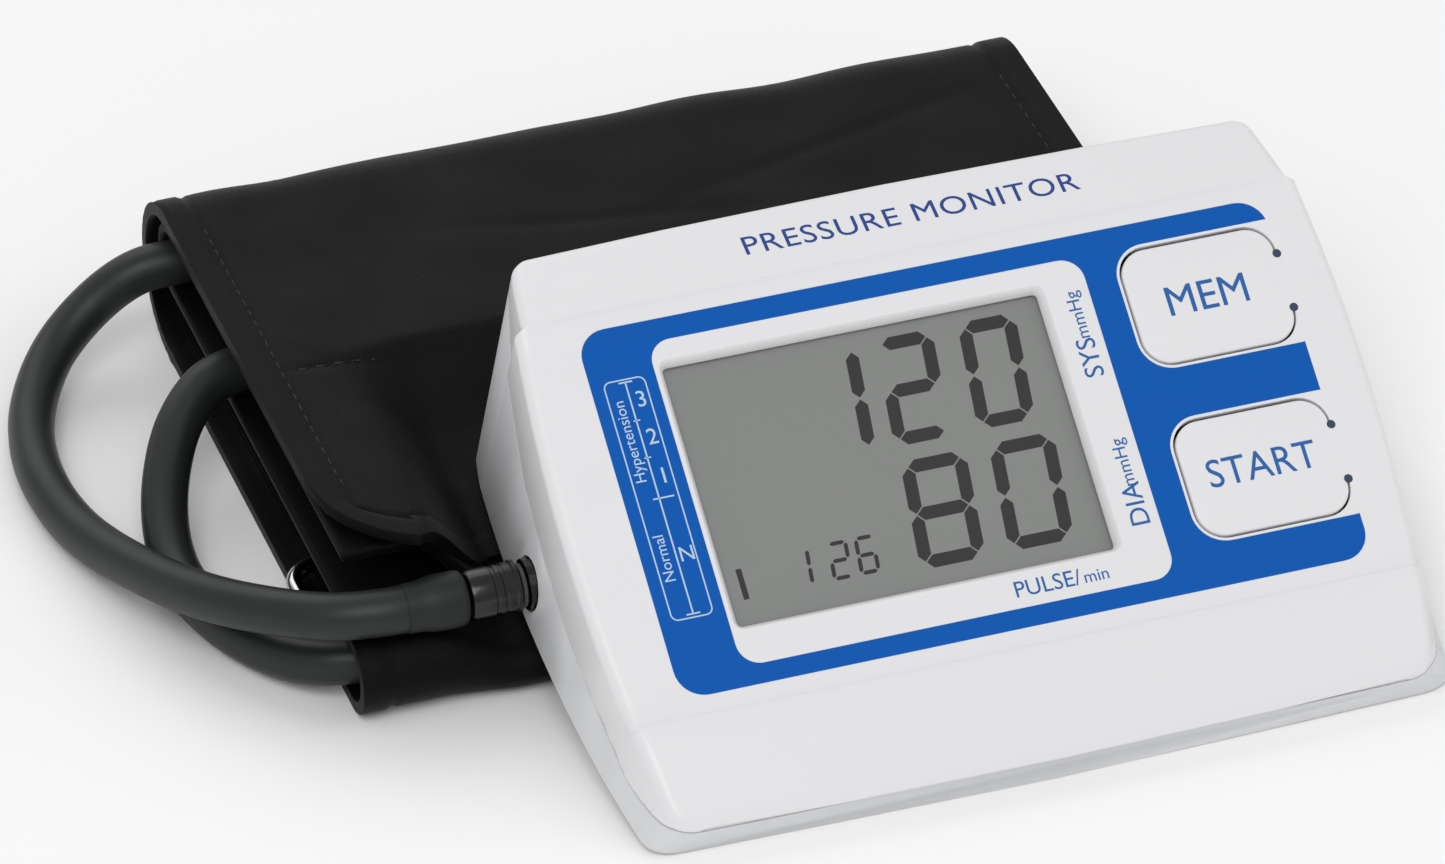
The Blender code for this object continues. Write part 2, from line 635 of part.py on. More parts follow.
# ---------------------------------------------------------------- batteries
def make_battery_bay(looks, frame):
    outer = [(BAY_FRONT - 0.2, 2.2), (BAY_BACK, 2.2), (BAY_BACK, 18.4), (60.2, 18.4),
             (BAY_FRONT - 0.2, 14.0)]
    inner = [(BAY_FRONT + 0.8, 1.0), (BAY_BACK - 0.8, 1.0), (BAY_BACK - 0.8, 17.6),
             (60.4, 17.6), (BAY_FRONT + 0.8, 13.6)]
    tray = new_object("battery_tray", prism_mesh("battery_tray", outer, BAY_LEFT - 1.0,
                                                 BAY_RIGHT + 1.0), looks["holder"], frame)
    space = cutter("tray_space", prism_mesh("tray_space", inner, BAY_LEFT, BAY_RIGHT), frame)
    boolean(tray, space, "DIFFERENCE")
    middle = (BAY_LEFT + BAY_RIGHT) / 2
    half = CELL_LENGTH + GAP / 2
    number = 0
    for row, y in enumerate(CELL_ROWS_Y):
        for x in (middle - half, middle + GAP / 2):
            number += 1
            r = CELL_DIAMETER / 2
            length = CELL_LENGTH
            profile = [(4.0, 0.0), (r, 0.4), (r, length - 1.5), (2.7, length - 1.4),
                       (2.7, length)]
            new_object(f"cell_{number}", turned_mesh(f"cell_{number}", profile, "X", 20),
                       looks["cell"], frame, mm(x, y, CELL_Z))
        coil = []
        turns, per_turn, length = 3, 12, 2.6
        steps = turns * per_turn
        for step in range(steps + 1):
            angle = 2 * math.pi * step / per_turn
            radius = 4.6 - 2.4 * step / steps
            coil.append((BAY_LEFT + 0.5 + length * step / steps, radius * math.cos(angle),
                         radius * math.sin(angle)))
        new_object(f"contact_spring_{row + 1}", tube_mesh(
            f"contact_spring_{row + 1}", coil, 0.3, 6), looks["steel"], frame,
            mm(0, y, CELL_Z))
        new_object(f"contact_plate_{row + 1}", box_mesh(
            f"contact_plate_{row + 1}", (BAY_RIGHT - 0.7, y - 5, CELL_Z - 5),
            (BAY_RIGHT - 0.3, y + 5, CELL_Z + 5)), looks["brass"], frame)


# ---------------------------------------------------------------- hose
def smooth_route(points, count):
    """Points evenly spread by parameter on a smooth curve through the given ones."""
    ends = [tuple(2 * a - b for a, b in zip(points[0], points[1]))]
    tail = [tuple(2 * a - b for a, b in zip(points[-1], points[-2]))]
    all_points = ends + list(points) + tail
    spans = len(points) - 1
    result = []
    for step in range(count):
        place = spans * step / (count - 1)
        span = min(int(place), spans - 1)
        t = place - span
        p0, p1, p2, p3 = (Vector(all_points[span + k]) for k in range(4))
        point = 0.5 * (2 * p1 + (p2 - p0) * t + (2 * p0 - 5 * p1 + 4 * p2 - p3) * t ** 2
                       + (3 * p1 - p0 - 3 * p2 + p3) * t ** 3)
        result.append(tuple(point))
    return result


HOSE_Y, HOSE_Z = 50.875, 17.97     # the jack's axis, once the case is propped up
HOSE_ROUTE = [
    (-78.8, HOSE_Y, HOSE_Z), (-85.0, HOSE_Y, HOSE_Z), (-92.0, 51.3, 17.9),
    (-99.0, 54.0, 17.0), (-106.5, 61.0, 15.0), (-114.0, 72.5, 11.6), (-120.3, 88.5, 7.4),
    (-125.0, 105.5, 4.3), (-126.4, 121.5, 3.9), (-123.8, 136.0, 4.3), (-117.5, 147.5, 6.8),
    (-109.5, 152.9, 11.2), (-101.5, 153.4, 16.1), (-93.5, 152.8, 17.4), (-80.0, 152.6, 17.4),
    (-66.0, 152.2, 17.4), (-53.0, 147.0, 17.4), (-46.5, 135.0, 17.4), (-51.5, 121.0, 17.4),
    (-65.0, 114.0, 17.4), (-80.0, 117.5, 17.4), (-91.5, 120.8, 17.4), (-99.0, 119.6, 16.7),
    (-105.0, 115.0, 13.8), (-109.3, 108.4, 9.8), (-112.2, 100.0, 6.2), (-113.3, 90.5, 4.0),
    (-112.2, 81.0, 3.8), (-109.0, 71.5, 3.8), (-104.3, 63.2, 4.4), (-99.2, 57.8, 5.7),
    (-94.0, 55.6, 6.5),
]


def make_hose(looks, table, frame):
    curve = bpy.data.curves.new("air_tube", "CURVE")
    curve.dimensions = "3D"
    curve.bevel_depth = HOSE_DIAMETER / 2 * MM
    curve.bevel_resolution = 2
    curve.use_fill_caps = True
    points = smooth_route(HOSE_ROUTE, 76)
    spline = curve.splines.new("POLY")
    spline.points.add(len(points) - 1)
    for target, point in zip(spline.points, points):
        target.co = (*mm(*point), 1.0)
    curve.materials.append(looks["hose"])
    hose = bpy.data.objects.new("air_tube", curve)
    bpy.context.collection.objects.link(hose)
    hose.parent = table
    place = mm(0, JACK_Y, JACK_Z)
    r = PLUG_DIAMETER / 2
    new_object("air_plug", turned_mesh("air_plug", [
        (r - 0.4, -78.4), (r, -78.0), (r, -71.0), (r + 0.2, -70.9), (r + 0.2, -70.25),
        (1.8, -70.2), (1.8, -63.4), (1.3, -62.8)], "X", 20), looks["plug"], frame, place)
    new_object("plug_seal", hollow_turned_mesh(
        "plug_seal", [(3.5, -69.95), (3.5, -69.35)], [(2.15, -69.35), (2.15, -69.95)],
        "X", 16), looks["foot"], frame, place)


# ---------------------------------------------------------------- cuff
def base_plane(y):
    """Height over the table of the undersides of the monitor's feet."""
    return (y * math.tan(math.radians(PROP_TILT))
            - (FOOT_HEIGHT + 0.4) / math.cos(math.radians(PROP_TILT)))


def smooth_step(value):
    value = min(1.0, max(0.0, value))
    return value * value * (3 - 2 * value)


BEHIND_Y = 93.0            # the cuff is free of the monitor behind this
BEHIND_SLOPE = 0.75        # and rises this steeply to its full height
FULL_Y = BEHIND_Y + (CUFF_HEIGHT - base_plane(BEHIND_Y)) / BEHIND_SLOPE
CUFF_BREAKS = (67.0, 79.0, BEHIND_Y, FULL_Y)


def cuff_top(x, y):
    """Height of the folded cuff's top: full size beside the monitor, pressed under it."""
    pressed = base_plane(min(y, BEHIND_Y)) + BEHIND_SLOPE * max(0.0, y - BEHIND_Y)
    pressed = min(CUFF_HEIGHT, pressed)
    return CUFF_HEIGHT + (pressed - CUFF_HEIGHT) * smooth_step(
        (x - PRESS_START) / (PRESS_END - PRESS_START))


def settle(x, y, z):
    """Where the weight of the monitor moves a point of the folded cuff."""
    limit = cuff_top(x, y)
    pouch_share = 0.45 + 0.55 * limit / CUFF_HEIGHT
    if z <= POUCH_TOP:
        return z * pouch_share
    rest = (limit - POUCH_TOP * pouch_share) / (CUFF_HEIGHT - POUCH_TOP)
    return POUCH_TOP * pouch_share + (z - POUCH_TOP) * rest


def arc(cy, cz, radius, start, end, steps):
    """Points of an arc in the Y-Z plane, angles in degrees."""
    points = []
    for step in range(steps + 1):
        angle = math.radians(start + (end - start) * step / steps)
        points.append((cy + radius * math.cos(angle), cz + radius * math.sin(angle)))
    return points


def run(y0, y1, z):
    """A straight level stretch, with a point wherever the pressed shape changes slope."""
    inside = [y for y in CUFF_BREAKS if min(y0, y1) + 0.5 < y < max(y0, y1) - 0.5]
    inside = inside if y1 > y0 else list(reversed(inside))
    return [(y, z) for y in [y0] + inside + [y1]]


def strip_outline(path, thick):
    """Closed outline of a layer of cloth that follows a path in the Y-Z plane."""
    left, right = [], []
    for i, (y, z) in enumerate(path):
        y0, z0 = path[max(0, i - 1)]
        y1, z1 = path[min(len(path) - 1, i + 1)]
        length = math.hypot(y1 - y0, z1 - z0)
        ny, nz = -(z1 - z0) / length, (y1 - y0) / length
        left.append((y + ny * thick / 2, z + nz * thick / 2))
        right.append((y - ny * thick / 2, z - nz * thick / 2))
    return left + list(reversed(right))


PRESS_START, PRESS_END = -84.0, -70.0     # across this the cuff dips under the monitor
PRESS_STEPS = 7
CUFF_STATIONS = ([CUFF_LEFT, -94.0, -91.0, -87.5]
                 + [PRESS_START + (PRESS_END - PRESS_START) * k / PRESS_STEPS
                    for k in range(PRESS_STEPS + 1)] + [-30.0, 10.0, CUFF_RIGHT])


def swept_cloth(name, outline_at, stations):
    """A solid whose Y-Z outline is carried across the cuff and pressed where it must be."""
    bm = bmesh.new()
    loops = []
    for x in stations:
        loops.append([bm.verts.new(mm(x, y, settle(x, y, z))) for y, z in outline_at(x)])
    count = len(loops[0])
    for lower, upper in zip(loops, loops[1:]):
        for i in range(count):
            j = (i + 1) % count
            bm.faces.new((lower[i], lower[j], upper[j], upper[i]))
    for loop in (loops[0], loops[-1]):
        for i in range(count // 2 - 1):
            bm.faces.new((loop[i], loop[i + 1], loop[count - 2 - i], loop[count - 1 - i]))
    return finish_mesh(name, bm)


def flap_tip(x):
    """Front edge of the top flap: a round corner at the left, drawn back by the monitor."""
    radius, centre_x, centre_y = 22.0, CUFF_LEFT + 22.0, 75.0
    if x < -84.0:
        return centre_y - math.sqrt(max(0.0, radius ** 2 - (x - centre_x) ** 2))
    return min(66.0, 55.2 + 0.77 * (x + 84.0))


FLAP_Z = CUFF_HEIGHT - CUFF_PLY / 2
FLOOR_Z = CUFF_PLY / 2
SECOND_Z = POUCH_TOP + CUFF_PLY / 2
THIRD_Z = 21.7 + CUFF_PLY / 2
BACK_RADIUS = (FLAP_Z - FLOOR_Z) / 2
BACK_Y = CUFF_BACK - BACK_RADIUS - CUFF_PLY / 2
POUCH_RADIUS = (SECOND_Z - FLOOR_Z) / 2
POUCH_Y = CUFF_FRONT + POUCH_RADIUS + CUFF_PLY / 2
INNER_RADIUS = (THIRD_Z - SECOND_Z) / 2
INNER_Y = 153.6
SEAM_Y = 58.0
THIRD_TIP = 60.0


def outer_panel_outline(x):
    tip, first_break = flap_tip(x), CUFF_BREAKS[1]
    path = [(tip, FLAP_Z), ((tip + first_break) / 2, FLAP_Z)]
    path += run(first_break, BACK_Y, FLAP_Z)
    path += arc(BACK_Y, (FLAP_Z + FLOOR_Z) / 2, BACK_RADIUS, 90, -90, 8)[1:]
    path += run(BACK_Y, POUCH_Y, FLOOR_Z)[1:]
    path += arc(POUCH_Y, (FLOOR_Z + SECOND_Z) / 2, POUCH_RADIUS, 270, 90, 6)[1:]
    path += [(SEAM_Y, SECOND_Z)]
    return strip_outline(path, CUFF_PLY)


def inner_panel_outline(_x):
    path = run(SEAM_Y + GAP, INNER_Y, SECOND_Z)
    path += arc(INNER_Y, (SECOND_Z + THIRD_Z) / 2, INNER_RADIUS, -90, 90, 8)[1:]
    path += run(INNER_Y, THIRD_TIP, THIRD_Z)[1:]
    return strip_outline(path, CUFF_PLY)


def flat_layer(y0, y1, z0, z1):
    """Outline of a flat layer that is pressed like its neighbours."""
    return run(y0, y1, z0) + run(y1, y0, z1)


def make_cuff(looks, table):
    def stations(left, right):
        return [left] + [x for x in CUFF_STATIONS if left + 0.5 < x < right - 0.5] + [right]

    new_object("cuff_outer_panel", swept_cloth(
        "cuff_outer_panel", outer_panel_outline, CUFF_STATIONS), looks["fabric"], table)
    new_object("cuff_inner_panel", swept_cloth(
        "cuff_inner_panel", inner_panel_outline,
        stations(CUFF_LEFT + 1.2, CUFF_RIGHT - 1.2)), looks["fabric"], table)
    new_object("bladder", swept_cloth(
        "bladder", lambda x: flat_layer(91.0, 148.0, 3.0, 10.2),
        stations(-91.0, 44.0)), looks["bladder"], table)
    neck = swept_cloth("bladder_neck", lambda x: flat_layer(51.5, 90.6, 7.4, 10.2),
                       stations(-85.6, -80.0))
    new_object("bladder_neck", neck, looks["bladder"], table)
    new_object("bladder_port", turned_mesh("bladder_port", [
        (3.2, -92.6), (3.2, -90.6), (3.9, -90.4), (3.9, -89.6), (3.2, -89.4), (3.2, -86.0)],
        "X", 16), looks["silicone"], table, mm(0, 55.6, 6.5))
    new_object("hook_patch", swept_cloth(
        "hook_patch", lambda x: flat_layer(72.0, 112.0, 24.4, 25.3),
        stations(-87.5, 44.0)), looks["hook"], table)
    r = D_RING_WIRE / 2
    left, right = CUFF_LEFT - 2.0 + r, CUFF_RIGHT + 1.0 - r
    loop = rounded_rectangle(left, D_RING_Y[0], right, D_RING_Y[1], 5.0, 4)
    new_object("d_ring", tube_mesh("d_ring", [(x, y, D_RING_Z) for x, y in loop], r, 10, True),
               looks["chrome"], table)


# ---------------------------------------------------------------- the assembly
def main():
    clear_scene()
    looks = make_materials()
    table = bpy.data.objects.new("table_datum", None)
    frame = bpy.data.objects.new("monitor_datum", None)
    panel = bpy.data.objects.new("panel_datum", None)
    for datum in (table, frame, panel):
        bpy.context.collection.objects.link(datum)
    table.location = mm(ORIGIN_X, ORIGIN_Y, 0)
    frame.parent = table
    frame.rotation_euler = (math.radians(PROP_TILT), 0, 0)
    panel.parent = frame
    panel.location = PANEL_PLACE
    panel.rotation_euler = PANEL_TURN
    make_top_case(looks, frame, panel)
    make_bottom_case(looks, frame)
    make_battery_door(looks, frame)
    make_feet_and_screws(looks, frame)
    for label in BUTTON_LOW:
        make_button(label, looks, panel)
    make_display(looks, panel)
    make_board(looks, panel)
    make_pump(looks, frame)
    make_valve(looks, frame)
    make_air_path(looks, frame)
    make_battery_bay(looks, frame)
    make_hose(looks, table, frame)
    make_cuff(looks, table)


main()
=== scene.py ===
# %% [markdown]
# # Blood-pressure monitor on its folded cuff
# The CAD model gives every size and place. This script gives each visible piece its finished shape and
# its material, then adds the camera, the lights and the floor. Lengths are in metres unless a name or a
# comment says millimetres.

# %%
import json
import math

import bpy
import numpy as np
from mathutils import Matrix, Vector

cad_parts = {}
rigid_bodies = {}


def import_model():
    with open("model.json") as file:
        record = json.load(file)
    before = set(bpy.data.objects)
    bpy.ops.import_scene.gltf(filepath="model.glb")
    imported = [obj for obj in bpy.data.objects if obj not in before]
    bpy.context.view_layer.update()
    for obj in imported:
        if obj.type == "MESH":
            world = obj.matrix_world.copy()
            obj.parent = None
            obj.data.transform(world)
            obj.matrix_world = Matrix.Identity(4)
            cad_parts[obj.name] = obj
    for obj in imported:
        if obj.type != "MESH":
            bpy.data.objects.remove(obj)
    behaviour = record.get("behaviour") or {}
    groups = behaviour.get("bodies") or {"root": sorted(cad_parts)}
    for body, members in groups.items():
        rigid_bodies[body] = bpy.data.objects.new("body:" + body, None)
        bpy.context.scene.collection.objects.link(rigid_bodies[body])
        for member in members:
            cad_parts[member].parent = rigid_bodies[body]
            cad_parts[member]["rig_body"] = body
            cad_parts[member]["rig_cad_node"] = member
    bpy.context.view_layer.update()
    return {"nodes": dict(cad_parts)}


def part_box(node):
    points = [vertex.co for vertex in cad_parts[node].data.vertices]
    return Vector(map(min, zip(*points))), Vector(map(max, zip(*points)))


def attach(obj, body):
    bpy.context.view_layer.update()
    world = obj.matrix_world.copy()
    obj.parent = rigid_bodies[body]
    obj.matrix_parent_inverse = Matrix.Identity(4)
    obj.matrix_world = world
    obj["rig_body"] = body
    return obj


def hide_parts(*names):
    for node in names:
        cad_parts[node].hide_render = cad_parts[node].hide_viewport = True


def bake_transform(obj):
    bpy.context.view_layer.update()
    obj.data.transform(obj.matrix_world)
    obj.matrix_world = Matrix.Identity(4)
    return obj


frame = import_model()
nodes = frame["nodes"]

# %% [markdown]
# ## Where things are
# Two frames make the work easy. `table` has its origin under the middle of the monitor's front edge.
# `monitor` is the same place, leaning back with the case. `panel` lies on the sloped display panel:
# its X runs across, its Y runs up the panel, and its Z points out of it.

# %%
MM = 0.001
TILT = math.radians(12.0)
SLOPE = math.radians(22.3)
FRONT_LIP = 4.6                       # mm, height of the top shell's front edge over the base
MAIN, PLUG = "monitor_and_cuff", "air_plug"

case_low, case_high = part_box("bottom_case")
case_middle = (case_low.x + case_high.x) / 2
front_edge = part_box("top_case")[0].y + FRONT_LIP * MM * math.sin(TILT)
table = Matrix.Translation((case_middle, front_edge, 0))
monitor = table @ Matrix.Rotation(TILT, 4, "X")
panel = monitor @ Matrix.Translation((0, 16.5 * MM, 12.7 * MM)) @ Matrix.Rotation(SLOPE, 4, "X")


def at(matrix, x, y, z=0.0):
    """A point given in mm in one of the frames, in the world."""
    return matrix @ (Vector((x, y, z)) * MM)


print("table frame starts at", tuple(round(v, 5) for v in table.translation))

# %% [markdown]
# ## The camera
# A long lens far away keeps the case's edges nearly parallel, as in a product photograph.

# %%
LENS, DISTANCE = 249.1, 1.592
LOOK_AZIMUTH, LOOK_DOWN = math.radians(19.19), math.radians(35.74)
target = at(table, -21.0, 95.87, 4.94)
forward = Vector((math.sin(LOOK_AZIMUTH) * math.cos(LOOK_DOWN),
                  math.cos(LOOK_AZIMUTH) * math.cos(LOOK_DOWN), -math.sin(LOOK_DOWN)))
bpy.ops.object.camera_add(location=target - forward * DISTANCE)
camera = bpy.context.object
camera.data.lens = LENS
camera.data.sensor_width = 36.0
camera.data.clip_start, camera.data.clip_end = 0.1, 20.0
camera.rotation_euler = forward.to_track_quat("-Z", "Y").to_euler()
bpy.context.scene.camera = camera
print("camera", tuple(round(v, 4) for v in camera.location))

# %% [markdown]
# ## Small tools for modelling
# Operators act on everything that is selected, so each step starts by selecting one object only.


# %%
def pick(piece):
    """Selects one object and nothing else, and makes it the active one."""
    bpy.ops.object.select_all(action="DESELECT")
    piece.select_set(True)
    bpy.context.view_layer.objects.active = piece
    return piece


def settle_mesh(piece, matrix=None):
    """Moves a finished piece to its frame and puts its place into its mesh."""
    if matrix is not None:
        piece.matrix_world = matrix @ piece.matrix_world
    pick(piece)
    bpy.ops.object.transform_apply(location=True, rotation=True, scale=True)
    return piece


def apply_modifiers(piece):
    """Makes each modifier's result the piece's own mesh, in order."""
    pick(piece)
    for step in list(piece.modifiers):
        bpy.ops.object.modifier_apply(modifier=step.name)


def outward(piece):
    """Merges doubled points and turns every face outwards."""
    pick(piece)
    bpy.ops.object.mode_set(mode="EDIT")
    bpy.ops.mesh.select_all(action="SELECT")
    bpy.ops.mesh.remove_doubles(threshold=1e-6)
    bpy.ops.mesh.normals_make_consistent(inside=False)
    bpy.ops.object.mode_set(mode="OBJECT")
    return piece


def smooth(piece, angle=35.0):
    """Shades smooth, but keeps every edge sharper than the angle in degrees."""
    pick(piece)
    bpy.ops.object.shade_smooth_by_angle(angle=math.radians(angle))
    return piece


def boolean(piece, tool, operation="DIFFERENCE"):
    """Cuts or joins with another solid, which is then removed."""
    step = piece.modifiers.new(operation, "BOOLEAN")
    step.operation, step.solver, step.object = operation, "EXACT", tool
    pick(piece)
    bpy.ops.object.modifier_apply(modifier=step.name)
    bpy.data.objects.remove(tool, do_unlink=True)
    return piece


# %% [markdown]
# Three ways to start a piece: a plate, a grid laid through sections, and a turned profile.


# %%
def slab(name, left, low, right, high, bottom, top, radius=0.0, steps=8):
    """A plate between two corners in mm, its upright edges rounded."""
    bpy.ops.object.select_all(action="DESELECT")
    bpy.ops.mesh.primitive_cube_add(
        size=1, location=((left + right) / 2 * MM, (low + high) / 2 * MM, (bottom + top) / 2 * MM))
    piece = bpy.context.object
    piece.name = name
    piece.scale = ((right - left) * MM, (high - low) * MM, (top - bottom) * MM)
    bpy.ops.object.transform_apply(location=True, rotation=False, scale=True)
    if radius:
        bpy.ops.object.mode_set(mode="EDIT")
        bpy.ops.mesh.select_mode(type="EDGE")
        bpy.ops.mesh.select_all(action="DESELECT")
        bpy.ops.object.mode_set(mode="OBJECT")
        for edge in piece.data.edges:
            a, b = (piece.data.vertices[i].co for i in edge.vertices)
            edge.select = abs(a.z - b.z) > 0.5 * (top - bottom) * MM
        bpy.ops.object.mode_set(mode="EDIT")
        bpy.ops.mesh.bevel(offset=radius * MM, segments=steps, affect="EDGES")
        bpy.ops.object.mode_set(mode="OBJECT")
    return piece


def loft(name, rows, closed=False, capped=False):
    """A grid primitive whose points are moved to rows of points in mm: one row for each section."""
    across, along = len(rows[0]), len(rows)
    bpy.ops.object.select_all(action="DESELECT")
    bpy.ops.mesh.primitive_grid_add(x_subdivisions=across - 1 + closed, y_subdivisions=along - 1,
                                    size=1, calc_uvs=True)
    piece = bpy.context.object
    piece.name = name
    width = across + closed
    points = np.array([[row[i % across] for i in range(width)] for row in rows], float) * MM
    piece.data.vertices.foreach_set("co", points.reshape(-1))
    piece.data.update()
    outward(piece)
    if capped:
        bpy.ops.object.mode_set(mode="EDIT")
        bpy.ops.mesh.select_mode(type="EDGE")
        bpy.ops.mesh.select_all(action="DESELECT")
        bpy.ops.mesh.select_non_manifold()
        bpy.ops.mesh.fill_holes(sides=0)
        bpy.ops.mesh.select_all(action="SELECT")
        bpy.ops.mesh.normals_make_consistent(inside=False)
        bpy.ops.object.mode_set(mode="OBJECT")
    return piece


def turned(name, profile, matrix, sides=64):
    """A solid of revolution about X: profile is (distance along X, radius) in mm, spun in edit mode."""
    mesh = bpy.data.meshes.new(name)
    line = [(x * MM, 0, r * MM) for x, r in profile]
    mesh.from_pydata(line, [(i, i + 1) for i in range(len(line) - 1)], [])
    piece = bpy.data.objects.new(name, mesh)
    bpy.context.scene.collection.objects.link(piece)
    pick(piece)
    bpy.ops.object.mode_set(mode="EDIT")
    bpy.ops.mesh.select_all(action="SELECT")
    bpy.ops.mesh.spin(steps=sides, angle=2 * math.pi, center=(0, 0, 0), axis=(1, 0, 0))
    bpy.ops.object.mode_set(mode="OBJECT")
    outward(piece)
    smooth(piece)
    return settle_mesh(piece, matrix)


def upright_at(x, y):
    """A frame at a point in mm under the case, its X pointing up into the case."""
    return (monitor @ Matrix.Translation((x * MM, y * MM, 0))
            @ Matrix.Rotation(-math.pi / 2, 4, "Y"))


def finish_piece(piece, look, body, *stands_for, slot=None):
    """Gives a piece its material and its body, and hides the CAD nodes that it stands for."""
    piece.data.materials.clear()
    piece.data.materials.append(look)
    piece.name = piece.name.replace(" ", "_")
    if body:
        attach(piece, body)
    if stands_for:
        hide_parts(*stands_for)
    return piece


# %% [markdown]
# ## Materials
# Colours are written as the hex numbers that a picture shows and turned to the linear values that the
# renderer uses. `wire` adds one shader node with its settings and links.


# %%
def colour(text):
    values = [int(text[i:i + 2], 16) / 255 for i in (0, 2, 4)]
    linear = [v / 12.92 if v <= 0.04045 else ((v + 0.055) / 1.055) ** 2.4 for v in values]
    return (*linear, 1.0)


def wire(look, kind, inputs=None, **settings):
    node = look.node_tree.nodes.new("ShaderNode" + kind)
    for name, value in settings.items():
        setattr(node, name, value)
    for key, value in (inputs or {}).items():
        if isinstance(value, bpy.types.NodeSocket):
            look.node_tree.links.new(value, node.inputs[key])
        else:
            node.inputs[key].default_value = value
    return node


def finish_look(name, shade, roughness, spots=(400.0, 0.06), grain=(1800.0, 0.05), metal=0.0,
                coat=0.0, sheen=0.0, ior=1.46):
    """A material with soft colour changes, uneven gloss and a fine grain in the surface."""
    look = bpy.data.materials.new(name)
    look.use_nodes = True
    shader = look.node_tree.nodes["Principled BSDF"]
    shader.inputs["Metallic"].default_value = metal
    shader.inputs["IOR"].default_value = ior
    shader.inputs["Coat Weight"].default_value = coat
    shader.inputs["Coat Roughness"].default_value = 0.12
    shader.inputs["Sheen Weight"].default_value = sheen
    place = wire(look, "TexCoord").outputs["Object"]
    patches = wire(look, "TexNoise", {"Vector": place, "Scale": spots[0], "Detail": 4.0})
    base = colour(shade)
    darker = (*[v * (1 - 3 * spots[1]) for v in base[:3]], 1.0)
    mixed = wire(look, "MixRGB", {"Fac": patches.outputs["Fac"], "Color1": base, "Color2": darker})
    look.node_tree.links.new(mixed.outputs["Color"], shader.inputs["Base Color"])
    gloss = wire(look, "MapRange", {"Value": patches.outputs["Fac"], "To Min": roughness - 0.05,
                                    "To Max": roughness + 0.07})
    look.node_tree.links.new(gloss.outputs["Result"], shader.inputs["Roughness"])
    fine = wire(look, "TexNoise", {"Vector": place, "Scale": grain[0], "Detail": 3.0})
    bump = wire(look, "Bump", {"Height": fine.outputs["Fac"], "Strength": grain[1],
                               "Distance": 0.0002})
    look.node_tree.links.new(bump.outputs["Normal"], shader.inputs["Normal"])
    return look


def woven_look(name, shade, thread, roughness, strength, sheen=0.15, wrinkle=0.0):
    """Cloth: two crossed sets of fine ribs, thread mm apart, laid along the piece's own UV map in mm."""
    look = finish_look(name, shade, roughness, spots=(60.0, 0.12), sheen=sheen, ior=1.22)
    shader = look.node_tree.nodes["Principled BSDF"]
    shader.inputs["Sheen Roughness"].default_value = 0.35
    uv = wire(look, "UVMap").outputs["UV"]
    scale = 1.0 / thread
    bands = [wire(look, "TexWave", {"Vector": uv, "Scale": scale * 0.3183, "Distortion": 0.6,
                                    "Detail": 1.0, "Detail Scale": 2.0},
                  wave_type="BANDS", bands_direction=way) for way in ("X", "Y")]
    both = wire(look, "Math", {0: bands[0].outputs["Fac"], 1: bands[1].outputs["Fac"]},
                operation="MULTIPLY")
    soft = wire(look, "TexNoise", {"Vector": wire(look, "TexCoord").outputs["Object"],
                                   "Scale": 55.0, "Detail": 5.0, "Distortion": 0.6})
    total = wire(look, "Math", {0: soft.outputs["Fac"], 1: wrinkle, 2: both.outputs["Value"]},
                 operation="MULTIPLY_ADD")
    bump = wire(look, "Bump", {"Height": total.outputs["Value"], "Strength": strength,
                               "Distance": 0.0003})
    look.node_tree.links.new(bump.outputs["Normal"], shader.inputs["Normal"])
    return look


